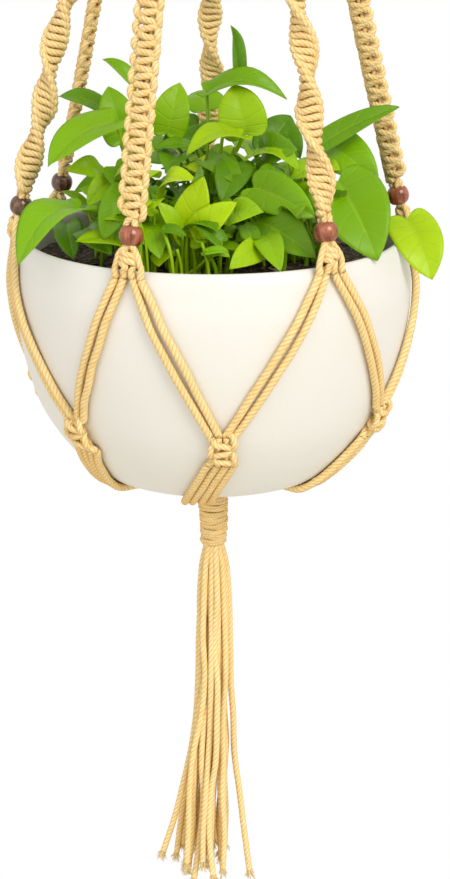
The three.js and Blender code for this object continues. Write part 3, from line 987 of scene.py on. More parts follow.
COTTON = CottonFinish().material()
YARN = CottonFinish(name="cotton_yarn", fibre_across=12.0, fibre_along=1.0).material()
RING_WOOD = WoodFinish("ring_wood", (0.46, 0.27, 0.12), (0.66, 0.43, 0.22), 0.32, 0.3, 34.0, 0.6).material()
RED_BEAD = WoodFinish("red_bead", (0.17, 0.034, 0.012), (0.44, 0.13, 0.055), 0.18, 0.55).material()
DARK_BEAD = WoodFinish("dark_bead", (0.04, 0.016, 0.008), (0.19, 0.085, 0.042), 0.16, 0.6).material()
GLAZE = GlazeFinish().material()
SOIL = SoilFinish().material()
LEAF = LeafFinish().material()
FLOOR = FloorFinish().material()


def finish(piece: bpy.types.Object, material: bpy.types.Material, slot: str, *nodes: str) -> None:
    """Gives a piece its material and hides the nodes that it stands for."""
    piece.data.materials.append(material)
    if nodes:
        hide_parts(*nodes)


def dress(piece: bpy.types.Object, material: bpy.types.Material, slot: str, body: str, *nodes: str) -> None:
    """Finishes a piece, for the nodes that it stands for, and lets it ride on its body."""
    finish(piece, material, slot, *nodes)
    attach(piece, body)
    log.info("%s rides on %s", piece.name, body)


# ---- Sub-assemblies ----


@dataclass(frozen=True)
class Sun:
    """A soft distant light: the side it comes from, its width in degrees, power and colour."""

    name: str
    towards: Point
    spread: float
    power: float
    colour: Colour


SUNS = (
    Sun("key", (0.55, -0.75, 0.75), 34.0, 1.7, (1.0, 0.965, 0.90)),
    Sun("fill", (-0.7, -0.8, 0.25), 60.0, 0.6, (1.0, 0.98, 0.94)),
)


@dataclass
class Studio:
    """Camera, lights and floor."""

    camera_side: float = 6.9 * MM
    camera_distance: float = 849 * MM
    camera_rise: float = 174 * MM
    pitch_down: float = 19.3
    lens: float = 62.8
    film_height: float = 36.0
    sight: float = 200.0
    floor_drop: float = 0.55
    floor_half: float = 40.0
    surround: float = 0.68

    def build(self) -> None:
        """Makes the camera, the lights and the floor."""
        self.camera()
        for light in SUNS:
            self.sun(light)
        self.world()
        self.floor()

    def camera(self) -> None:
        """Makes the camera, in front of the bowl and looking a little down."""
        data = bpy.data.cameras.new("view")
        data.sensor_fit = "VERTICAL"
        data.sensor_height = self.film_height
        data.lens = self.lens
        data.clip_end = self.sight
        camera = bpy.data.objects.new("view", data)
        camera.location = (self.camera_side, -self.camera_distance, RIM_Z + self.camera_rise)
        camera.rotation_euler = (math.radians(90.0 - self.pitch_down), 0.0, 0.0)
        bpy.context.scene.collection.objects.link(camera)
        bpy.context.scene.camera = camera

    def world(self) -> None:
        """Makes the surround: a plain white backdrop to the camera, and a dimmer light on the object."""
        world = bpy.data.worlds.new("studio")
        world.use_nodes = True
        tree = world.node_tree
        background = tree.nodes["Background"]
        background.inputs["Color"].default_value = WHITE
        background.inputs["Strength"].default_value = self.surround
        backdrop = add_node(tree, "ShaderNodeBackground")
        backdrop.inputs["Color"].default_value = WHITE
        mix = add_node(tree, "ShaderNodeMixShader")
        link_all(
            tree,
            (add_node(tree, "ShaderNodeLightPath").outputs["Is Camera Ray"], mix.inputs[0]),
            (background.outputs[0], mix.inputs[1]),
            (backdrop.outputs[0], mix.inputs[2]),
            (mix.outputs[0], tree.nodes["World Output"].inputs["Surface"]),
        )
        bpy.context.scene.world = world
        bpy.context.scene.view_settings.view_transform = "Standard"

    def sun(self, light: Sun) -> None:
        """Adds a soft distant light that shines from its side."""
        data = bpy.data.lights.new(light.name, "SUN")
        data.angle = math.radians(light.spread)
        data.energy = light.power
        data.color = light.colour
        lamp = bpy.data.objects.new(light.name, data)
        lamp.location = tuple(component * 2.0 for component in light.towards)
        tilt = math.acos(unit(vector(*light.towards))[2])
        heading = math.atan2(light.towards[1], light.towards[0]) + math.pi / 2
        lamp.rotation_euler = (tilt, 0.0, heading)
        bpy.context.scene.collection.objects.link(lamp)

    def floor(self) -> None:
        """Makes the plain pale floor, well below the tassel."""
        maker = MeshMaker()
        half = self.floor_half
        height = CAD_BOX[0][2] - self.floor_drop
        corners = [(-half, -half), (half, -half), (half, half), (-half, half)]
        face = np.arange(4)[None, :]
        maker.add(np.array([(x, y, height) for x, y in corners]), [face], [np.zeros((1, 4, 2))])
        floor = maker.build("studio_floor")
        floor.data.materials.append(FLOOR)


@dataclass(frozen=True)
class Stray:
    """A strand at the tassel's side: how far its end drifts that way, and how much longer it is."""

    drift: float
    longer: float


@dataclass
class Tassel:
    """The hanging ends of all the cords below the base wrap."""

    strands: int = CORD_COUNT
    neck: float = 5.2 * MM
    full: float = 10.2 * MM
    foot: float = 19.5 * MM
    lean: float = -7.0 * MM
    length: float = 219 * MM
    uneven: float = 9 * MM
    drift: float = 1.6 * MM
    sway: float = 1.1 * MM
    waver: float = 0.45 * MM
    left_stray: Stray = Stray(-10 * MM, -4 * MM)
    right_stray: Stray = Stray(11 * MM, 9 * MM)
    stray_front: float = -4 * MM
    fibres: int = 48
    rng: np.random.Generator = field(default_factory=lambda: np.random.default_rng(SEED))

    def strand_points(self, spot: tuple[float, float], stray: Stray | None) -> list[Line]:
        """The route of one strand: out of the wrap, into the full tassel, and down to its cut end."""
        top = float(BASE_WRAP[0][2])
        direction = vector(spot[0], spot[1], 0.0) / self.neck
        length = self.length + self.rng.uniform(-self.uneven, self.uneven)
        drift = vector(*self.rng.normal(0.0, self.drift, 2), 0.0)
        sway = vector(*self.rng.normal(0.0, self.sway, 2), 0.0)
        bend = self.rng.uniform(0.0, TAU)
        if stray:
            drift = vector(stray.drift, self.stray_front, 0.0)
            length = self.length + stray.longer
        stages = (
            (-0.6, self.neck * 0.86),
            (5.0, self.neck * 1.15),
            (16.0, self.neck * 1.6),
            (36.0, self.full * 0.96),
        )
        points = [direction * radius + vector(0, 0, top - down * MM) for down, radius in stages]
        for share in (0.28, 0.4, 0.52, 0.64, 0.76, 0.88, 1.0):
            spread = self.full + (self.foot - self.full) * max(0.0, (share - 0.3) / 0.7) ** 1.4
            late = ((share - 0.2) / 0.8) ** (3.2 if stray else 1.6)
            bow = sway * math.sin(share * 11.0 + bend) + drift * late + vector(self.lean * late, 0, 0)
            bow += vector(*self.rng.normal(0.0, self.waver, 2), 0.0)
            points.append(direction * spread + bow + vector(0, 0, top - length * share))
        return points

    def build(self) -> None:
        """Makes each strand, with the loose fibres at its end."""
        spots = disc_spots(self.strands, self.neck)
        sides = [spot[0] for spot in spots]
        strays = {sides.index(min(sides)): self.left_stray, sides.index(max(sides)): self.right_stray}
        for index, spot in enumerate(spots):
            line, _ = smooth_line(self.strand_points(spot, strays.get(index)), TASSEL_CORD.step)
            maker = MeshMaker()
            tone = self.rng.uniform(0.3, 1.0)
            add_cord(maker, line, TASSEL_CORD, tone, self.rng.uniform(0, TAU))
            piece = maker.build(f"tassel_strand_{index + 1:02d}")
            nodes = ("tassel",) if index == 0 else ()
            dress(piece, COTTON, "cotton_cord", "tassel", *nodes)
            fray = self.fray(index, line)

    def fray(self, index: int, line: Line) -> bpy.types.Object:
        """The loose fibres at a strand's cut end."""
        maker = MeshMaker()
        down = unit(line[-1] - line[-4])
        for _ in range(self.fibres):
            aside = self.rng.normal(0.0, 1.0, 3)
            aside = unit(aside - down * np.dot(aside, down))
            start = line[-1] + aside * self.rng.uniform(0.2, 1.5) * MM - down * 2.0 * MM
            reach = self.rng.uniform(4.0, 8.5) * MM
            splay = aside * self.rng.uniform(0.05, 0.42)
            points = [start, start + (down + 0.3 * splay) * reach * 0.5, start + (down + splay) * reach]
            fibre, _ = smooth_line(points, FRAY_FIBRE.step)
            taper = np.linspace(1.0, 0.4, len(fibre))
            add_cord(maker, fibre, FRAY_FIBRE, self.rng.uniform(0.6, 1.0), 0.0, taper)
        piece = maker.build(f"tassel_fray_{index + 1:02d}")
        dress(piece, YARN, "cotton_yarn", "tassel")
        return piece


@dataclass
class Arm:
    """One arm: loose cords from the top wrap, the knotted band, and the way into the bead."""

    plan: ArmPlan
    index: int
    rng: np.random.Generator
    lead: float = 1.0 * MM
    tail: float = 1.5 * MM
    waver: float = 0.13 * MM
    filler_points: int = 90

    def __post_init__(self) -> None:
        """Works out the arm's straight line and its sides."""
        self.rim = polar(POT_RADIUS + KNOT_THICK / 2 + GAP, self.plan.azimuth, RIM_Z)
        foot = float(TOP_WRAP[0][2])
        self.top_azimuth = TOP_FIRST_AZIMUTH + self.index * FULL_TURN / len(ARMS)
        top = polar(ARM_TOP_RADIUS, self.top_azimuth, foot - GAP - CORD * 0.22)
        self.along = unit(top - self.rim)
        across = around(self.plan.azimuth)
        self.across = unit(across - self.along * np.dot(across, self.along))
        self.outward = np.cross(self.across, self.along)
        self.length = float(np.linalg.norm(top - self.rim))

    def place(self, distance: float, aside: float, front: float, turn: float = 0.0) -> Line:
        """A point beside the arm's line, at a distance up from the rim, with the section turned."""
        across = self.across * math.cos(turn) - self.outward * math.sin(turn)
        outward = self.across * math.sin(turn) + self.outward * math.cos(turn)
        return self.rim + self.along * distance + across * aside + outward * front

    def turn_at(self, distance: float) -> float:
        """How far the band's section is turned at a distance up from the rim, in radians."""
        foot = math.radians(self.plan.turned)
        if self.plan.band is Band.SQUARE:
            return foot
        return foot - math.pi * (distance - BAND_START) / SPIRAL_HALF_TURN

    def build(self) -> None:
        """Makes the arm's four cords as one piece."""
        band_top = self.length - LOOSE_LENGTH
        count = int((band_top - BAND_START - self.tail) / BAND_KNOT.pitch)
        low, high = knot_run(BAND_KNOT, count, self.lead, self.plan.band)
        run = np.linspace(self.lead, self.lead + count * BAND_KNOT.pitch, self.filler_points)
        fillers = [[vector(side * BAND_KNOT.filler, 0.0, down) for down in run] for side in (-1.0, 1.0)]
        maker = MeshMaker()
        for number, points in enumerate((low, *fillers, high)):
            working = number in WORKING_CORDS
            kind = BAND_CORD if working else FILLER_CORD
            world = self.top_points(number, band_top)
            loose = len(world)
            jitter = self.rng.normal(0.0, self.waver, (len(points), 3)) * working
            for (aside, front, down), stray in zip(points, jitter):
                distance = band_top - down
                world.append(self.place(distance, aside, front, self.turn_at(distance)) + stray)
            world.extend(self.bead_points(number))
            line, marks = smooth_line(world, kind.step)
            swell = CORD / kind.diameter
            stops = [marks[0], marks[loose - 1], marks[loose + 2], marks[-1]]
            taper = np.interp(np.arange(len(line)), stops, [swell, swell, 1.0, 1.0])
            add_cord(maker, line, kind, self.rng.uniform(0.2, 0.8), self.rng.uniform(0, TAU), taper)
        piece = maker.build(f"{self.plan.name}_arm_cords")
        dress(piece, COTTON, "cotton_cord", "hanger", f"{self.plan.name}_arm")

    def top_points(self, number: int, band_top: float) -> list[Line]:
        """The loose stretch of a cord, from inside the top wrap down to the band."""
        foot = float(TOP_WRAP[0][2])
        lane = LANES[number]
        fan = polar(1.0, self.top_azimuth, 0.0)
        sideways = around(self.top_azimuth)
        inside = fan * 5.5 * MM + sideways * lane * 1.9 * MM
        mouth = fan * 7.8 * MM + sideways * lane * 2.4 * MM
        points = [inside + vector(0, 0, foot + 9 * MM), mouth + vector(0, 0, foot - 1 * MM)]
        turn = (self.turn_at(band_top) + math.pi / 2) % math.pi - math.pi / 2
        for share in (0.3, 0.55, 0.8):
            distance = self.length + (band_top - self.length) * share
            spread = (1.0 - 0.1 * share) * 2.5 * MM
            front = (-0.5 if number in WORKING_CORDS else 0.9) * MM
            points.append(self.place(distance, lane * spread, front, turn * share))
        return points

    def bead_points(self, number: int) -> list[Line]:
        """The end of a cord below the band, gathered into the bead's bore."""
        turn = self.turn_at(BAND_START)
        aside, front = NECK[number]
        mouth = self.place(BEAD_START + BEAD_LENGTH + 1.4 * MM, aside * 1.7, front * 1.4, turn)
        return [mouth, self.place(BEAD_START + BEAD_LENGTH * 0.6, aside, front, turn)]


NECK = ((-1.3 * MM, 1.1 * MM), (-1.2 * MM, -1.1 * MM), (1.2 * MM, -1.1 * MM), (1.3 * MM, 1.1 * MM))


@dataclass
class Bead:
    """A turned bead on the foot of an arm."""

    arm: Arm
    segments: int = 44

    def build(self) -> None:
        """Makes the bead with its rounded side, softened ends and open bore."""
        half = BEAD_LENGTH / 2
        shoulder = BEAD_RADIUS * 0.45
        outline = []
        for angle in np.linspace(-math.pi / 2, math.pi / 2, 25):
            outline.append((shoulder + (BEAD_RADIUS - shoulder) * math.cos(angle), half * math.sin(angle)))
        inner = BEAD_BORE_RADIUS + 0.25 * MM
        bore = [(inner, half * 0.97), (BEAD_BORE_RADIUS, half * 0.8), (BEAD_BORE_RADIUS, -half * 0.8)]
        profile = [*outline, *bore, (inner, -half * 0.97)]
        angles = np.linspace(0, TAU, self.segments, endpoint=False)
        centre = self.arm.place(BEAD_START + half, 0.0, 0.0)
        points = []
        for radius, height in profile:
            for angle in angles:
                aside = self.arm.across * math.cos(angle) - self.arm.outward * math.sin(angle)
                points.append(centre + aside * radius + self.arm.along * height)
        quads, row, column = Grid(len(profile), self.segments, True, True).quads()
        uvs = np.stack([column / self.segments, row / len(profile)], axis=-1)
        maker = MeshMaker()
        maker.add(np.array(points), [quads], [uvs])
        node = f"{self.arm.plan.name}_bead"
        slot, material = ("dark_bead", DARK_BEAD) if self.arm.plan.dark_bead else ("red_bead", RED_BEAD)
        dress(maker.build(f"{self.arm.plan.name}_turned_bead"), material, slot, node, node)


@dataclass
class CordRoute:
    """One cord's points on its way down, with the piece and the share of full thickness at each."""

    points: list[Line] = field(default_factory=list)
    names: list[str] = field(default_factory=list)
    shares: list[float] = field(default_factory=list)

    def extend(self, points: list[Line], name: str, share: float) -> None:
        """Adds points that belong to a piece."""
        self.points += points
        self.names += [name] * len(points)
        self.shares += [share] * len(points)


@dataclass
class Cradle:
    """The 24 cords from the beads down: crown knots, pairs, cradle knots, base cords and gather."""

    arms: list[Arm]
    wall: BowlWall
    rng: np.random.Generator
    proud: float = CORD / 2 + 0.45 * MM
    knot_proud: float = 3.6 * MM
    tight: float = 0.8

    def knot_azimuth(self, index: int) -> float:
        """The azimuth of the cradle knot after an arm."""
        plan = self.arms[index].plan
        following = self.arms[(index + 1) % len(self.arms)].plan.azimuth
        following = following if following > plan.azimuth else following + FULL_TURN
        return (plan.azimuth + following) / 2 + plan.knot_shift

    def build(self) -> None:
        """Routes every cord and shares it out among the pieces that it runs through."""
        makers: dict[str, MeshMaker] = {}
        core = disc_spots(CORD_COUNT, BASE_CORE_RADIUS - 1.0 * MM)
        core.sort(key=lambda spot: math.atan2(spot[1], spot[0]) % TAU)
        for index, arm in enumerate(self.arms):
            for number in range(CORDS_PER_ARM):
                self.route(makers, index, arm, number, core)
        for name, maker in makers.items():
            piece = maker.build(f"{name}_cords")
            dress(piece, COTTON, "cotton_cord", "hanger", name)

    def route(
        self,
        makers: dict[str, MeshMaker],
        index: int,
        arm: Arm,
        number: int,
        core: list[tuple[float, float]],
    ) -> None:
        """Routes one cord from its bead to the base wrap.

        Args:
            makers: The pieces so far, by the node that each stands for.
            index: The arm's number.
            arm: The arm that the cord comes from.
            number: The cord's place in the arm, from low to high azimuth.
            core: Places in the gathered bundle, in order of azimuth.
        """
        side = -1 if number < 2 else 1
        knot = index if side > 0 else (index - 1) % len(self.arms)
        away = (self.knot_azimuth(knot) - arm.plan.azimuth + 180.0) % FULL_TURN - 180.0
        knot_azimuth = arm.plan.azimuth + away
        route = CordRoute()
        route.extend(self.crown_points(arm, number), f"{arm.plan.name}_crown_knot", self.tight)
        lane = side * (0.5 if number in WORKING_CORDS else -0.5)
        spread = arm.plan.spread[0 if side < 0 else 1]
        pair = self.pair_points(arm.plan.azimuth, knot_azimuth, side, lane, spread)
        route.extend(pair, f"{arm.plan.name}_pair_{'a' if side < 0 else 'b'}", 1.0)
        entry = number - 2 if side > 0 else number + 2
        knot_points, exit_lane = self.knot_points(knot_azimuth, entry)
        route.extend(knot_points, f"cradle_knot_{knot + 1}", self.tight)
        route.extend(self.base_points(knot_azimuth, exit_lane), f"base_cords_{knot + 1}", 1.0)
        exit_angle = (knot_azimuth + SWIRL + 10.0 * exit_lane) % FULL_TURN
        spot = core[int(exit_angle / FULL_TURN * CORD_COUNT) % CORD_COUNT]
        route.extend(self.gather_points(spot, self.rng.uniform(-0.4, 0.4) * MM), "base_gather", 0.9)
        self.share_out(makers, route)

    def share_out(self, makers: dict[str, MeshMaker], route: CordRoute) -> None:
        """Cuts a cord's line where it passes from one piece to the next and adds each stretch."""
        jitter = self.rng.normal(0.0, 0.14 * MM, (len(route.points), 3))
        line, marks = smooth_line(list(np.array(route.points) + jitter), LOOSE_CORD.step)
        taper = np.interp(np.arange(len(line)), marks, route.shares)
        tone = self.rng.uniform(0.2, 0.9)
        phase = self.rng.uniform(0, TAU)
        names = route.names
        start = 0
        for i in range(1, len(names) + 1):
            if i < len(names) and names[i] == names[start]:
                continue
            low = marks[start]
            high = marks[i] if i < len(names) else marks[-1]
            run = line_length(line[: low + 1])
            turn = phase + TAU * run / (LOOSE_CORD.lay * LOOSE_CORD.diameter)
            maker = makers.setdefault(names[start], MeshMaker())
            add_cord(maker, line[low : high + 1], LOOSE_CORD, tone, turn, taper[low : high + 1])
            start = i

    def crown_points(self, arm: Arm, number: int) -> list[Line]:
        """A cord's points from inside the bead through the crown knot.

        The outer cords stand apart as two legs, and the inner ones cross in three bars between them.
        """
        neck = [(*NECK[number], BEAD_LENGTH * 0.45), (*NECK[number], BEAD_LENGTH - 0.6 * MM)]
        points = [arm.place(BEAD_START + BEAD_LENGTH - down, aside, front) for aside, front, down in neck]
        mirror = -1.0 if number == 0 else 1.0
        for aside, front, down in CROWN_ROUTES[number]:
            points.append(arm.place(BEAD_START - down * MM, aside * mirror * MM, front * MM))
        return points

    def pair_points(
        self, arm_azimuth: float, knot_azimuth: float, side: int, lane: float, spread: float
    ) -> list[Line]:
        """A cord's points from the rim to its cradle knot, beside its partner.

        Args:
            arm_azimuth: The azimuth that it starts from, in degrees.
            knot_azimuth: The azimuth of its cradle knot.
            side: -1 towards lower azimuths, 1 towards higher ones.
            lane: Its lane in the pair, in cord widths from the middle.
            spread: How far apart the pair's cords stand midway, in cord widths.

        Returns:
            The points, from the rim down.
        """
        top = self.wall.at_depth(3.5 * MM)
        end = self.wall.at_depth(CRADLE_DEPTH) - CRADLE_KNOT_LENGTH / 2 - 1.0 * MM
        points = []
        for share in np.linspace(0.0, 1.0, 8):
            run = top + (end - top) * share
            azimuth = arm_azimuth + (knot_azimuth - arm_azimuth) * share
            middle = side * CORD * (1.12 - 2.1 * share)
            apart = CORD * (1.04 + (spread - 1.0) * math.sin(math.pi * share**0.8))
            points.append(self.wall.place(run, azimuth, middle + lane * apart, self.proud))
        return points

    def knot_points(self, azimuth: float, entry: int) -> tuple[list[Line], float]:
        """A cord's points through a cradle knot of three half knots.

        Args:
            azimuth: The knot's azimuth.
            entry: The cord's place on the way in, from 0 at low azimuth to 3.

        Returns:
            The points, and the lane it leaves in, in cord widths from the middle.
        """
        middle = self.wall.at_depth(CRADLE_DEPTH)
        start = middle - CRADLE_KNOT_LENGTH / 2
        low, high = knot_run(CRADLE_KNOT, CRADLE_HALF_KNOTS, 0.6 * MM, Band.SQUARE)
        fillers = [vector(0.0, 0.0, k * CRADLE_KNOT_LENGTH / 4) for k in range(5)]
        lane = LANES[entry]
        if entry in WORKING_CORDS:
            local = low if entry == 0 else high
            lane = -lane
        else:
            local = [point + vector(math.copysign(CRADLE_KNOT.filler, lane), 0.0, 0.0) for point in fillers]
        return [
            self.wall.place(start + down, azimuth, aside, self.knot_proud + front)
            for aside, front, down in local
        ], lane

    def base_points(self, azimuth: float, lane: float) -> list[Line]:
        """A cord's points from its cradle knot round the foot of the bowl and in under it."""
        start = self.wall.at_depth(CRADLE_DEPTH) + CRADLE_KNOT_LENGTH / 2 + 3.0 * MM
        end = self.wall.at_base_radius(GATHER_RADIUS + 2 * MM)
        points = []
        for share in np.linspace(0.0, 1.0, 9):
            run = start + (end - start) * share
            drift = SWIRL * min(1.0, 2.0 * share)
            points.append(self.wall.place(run, azimuth + drift, lane * CORD * 1.03, self.proud))
        return points

    def gather_points(self, spot: tuple[float, float], shift: float) -> list[Line]:
        """A cord's points from under the base down into the base wrap."""
        top = float(BASE_WRAP[1][2])
        foot = float(BASE_WRAP[0][2])
        middle = vector(spot[0], spot[1], 0.0)
        return [
            middle * 2.0 + vector(0, 0, top + 8.5 * MM + shift),
            middle * 1.25 + vector(0, 0, top + 3.0 * MM),
            middle + vector(0, 0, top - 6 * MM),
            middle + vector(0, 0, foot + 5.0 * MM),
        ]


@dataclass
class Wrap:
    """A gathering wrap: yarn wound closely round a bundle of cords."""

    name: str
    core: float
    taper: float
    pitch: float = 1.6 * MM
    cross_pitch: float = 5.5 * MM
    margin: float = 2.0 * MM
    per_turn: int = 26

    def build(self, rng: np.random.Generator) -> None:
        """Makes the winding."""
        low, high = (float(corner[2]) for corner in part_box(self.name))
        half = WRAP_YARN.diameter / 2
        total = int((high - low - WRAP_YARN.diameter) / self.pitch * self.per_turn)
        proud = WRAP_YARN.diameter * 0.45 + soft_noise(rng, 0.55 * MM, total + 1, 6)
        points = self.coil(low + half, high - half, proud, soft_noise(rng, 1.1 * MM, total + 1, 9), 1)
        tuck = points[-1] * vector(0.45, 0.45, 1.0) + vector(0, 0, 4 * MM)
        line, _ = smooth_line([*points, tuck], WRAP_YARN.step)
        maker = MeshMaker()
        add_cord(maker, line, WRAP_YARN, 0.35)
        self.cross(maker, low + self.margin, high - self.margin, rng)
        dress(maker.build(f"{self.name}_winding"), YARN, "cotton_yarn", "hanger", self.name)

    def cross(self, maker: MeshMaker, low: float, high: float, rng: np.random.Generator) -> None:
        """Adds the sparse turns that run back over the winding the other way."""
        total = int((high - low) / self.cross_pitch * self.per_turn)
        share = np.arange(total + 1) / total
        proud = WRAP_YARN.diameter * 0.65 + 0.35 * MM * np.sin(share * total / 5.0)
        points = self.coil(low, high, proud, soft_noise(rng, 1.6 * MM, total + 1, 9), -1)
        line, _ = smooth_line(points, WRAP_YARN.step)
        add_cord(maker, line, WRAP_YARN, 0.6)

    def coil(self, low: float, high: float, proud: Line, stray: Line, way: int) -> list[Line]:
        """The points of a coil that runs down round the core.

        Args:
            low: The height of its foot.
            high: The height of its top.
            proud: How far out from the core each point stands.
            stray: How far each point strays up or down.
            way: 1 for a rising azimuth on the way down, -1 for the other way.

        Returns:
            The points, from the top down.
        """
        points = []
        total = len(proud) - 1
        for i in range(total + 1):
            share = i / total
            radius = self.core + proud[i] + self.taper * (0.5 - share)
            height = high - share * (high - low) + stray[i]
            points.append(polar(radius, way * FULL_TURN * i / self.per_turn, height))
        return points


@dataclass
class Crown:
    """The wooden ring and the twelve cord loops over its foot."""

    loops: int = 12
    half_spread: float = 44.0
    wire: float = 9 * MM
    rows: int = 96
    section: int = 28
    grain_rows: float = 8.0

    def build(self, rng: np.random.Generator) -> None:
        """Makes the ring and the loops."""
        outer = float(RING_BOX[1][0])
        radius = outer - self.wire / 2
        centre = vector(0.0, 0.0, float(RING_BOX[0][2]) + outer)
        self.ring(radius, self.wire / 2, centre)
        self.cord_loops(radius, self.wire / 2, centre, rng)

    def ring(self, radius: float, tube: float, centre: Line) -> None:
        """Makes the round wooden ring."""
        points = []
        for angle in np.linspace(0, TAU, self.rows, endpoint=False):
            outward = vector(math.cos(angle), 0.0, math.sin(angle))
            for turn in np.linspace(0, TAU, self.section, endpoint=False):
                reach = radius + tube * math.cos(turn)
                points.append(centre + outward * reach + vector(0, tube * math.sin(turn), 0))
        quads, row, column = Grid(self.rows, self.section, True, True).quads()
        maker = MeshMaker()
        uvs = np.stack([column / self.section, row / self.grain_rows], axis=-1)
        maker.add(np.array(points), [quads], [uvs])
        dress(maker.build("wooden_ring"), RING_WOOD, "ring_wood", "ring", "hanging_ring")

    def cord_loops(self, radius: float, tube: float, centre: Line, rng: np.random.Generator) -> None:
        """Makes the loops, from the wrap over the ring's foot and back down."""
        wrap_top = float(TOP_WRAP[1][2])
        wrap_foot = float(TOP_WRAP[0][2])
        reach = tube + STRAND / 2 + 0.2 * MM
        maker = MeshMaker()
        for i in range(self.loops):
            share = 2 * i / (self.loops - 1) - 1
            slant = math.radians(self.half_spread * share)
            middle = centre + radius * vector(math.sin(slant), 0.0, -math.cos(slant))
            inward = vector(-math.sin(slant), 0.0, math.cos(slant))
            aside = TOP_CORE_RADIUS * 0.8 * share
            room = math.sqrt(max(0.0, (TOP_CORE_RADIUS * 0.85) ** 2 - aside**2))
            deep = 1.2 * MM + room * 0.7
            halves = []
            for side in (-1, 1):
                halves.append(
                    [
                        vector(aside, side * deep, wrap_foot + 2 * MM),
                        vector(aside, side * deep, wrap_top - 4 * MM),
                        vector(aside * 1.15, side * deep, wrap_top + 3 * MM),
                        middle - inward * reach * 0.6 + vector(0, side * reach * 0.9, 0),
                        middle + inward * reach * 0.15 + vector(0, side * reach, 0),
                        middle + inward * reach * 0.75 + vector(0, side * reach * 0.66, 0),
                    ]
                )
            points = [*halves[0], middle + inward * reach, *halves[1][::-1]]
            line, _ = smooth_line(points, TASSEL_CORD.step)
            add_cord(maker, line, TASSEL_CORD, rng.uniform(0.2, 1.0), rng.uniform(0, TAU))
        piece = maker.build("cord_loops_over_ring")
        finish(piece, COTTON, "cotton_cord", "cord_loops")
        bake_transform(piece)
        log.info("%s bends between the ring and the hanger", piece.name)


OCTAHEDRON = np.array([(1, 0, 0), (0, 1, 0), (-1, 0, 0), (0, -1, 0), (0, 0, 1), (0, 0, -1)], dtype=float)
OCTAHEDRON_FACES = np.array(
    [(0, 1, 4), (1, 2, 4), (2, 3, 4), (3, 0, 4), (1, 0, 5), (2, 1, 5), (3, 2, 5), (0, 3, 5)]
)


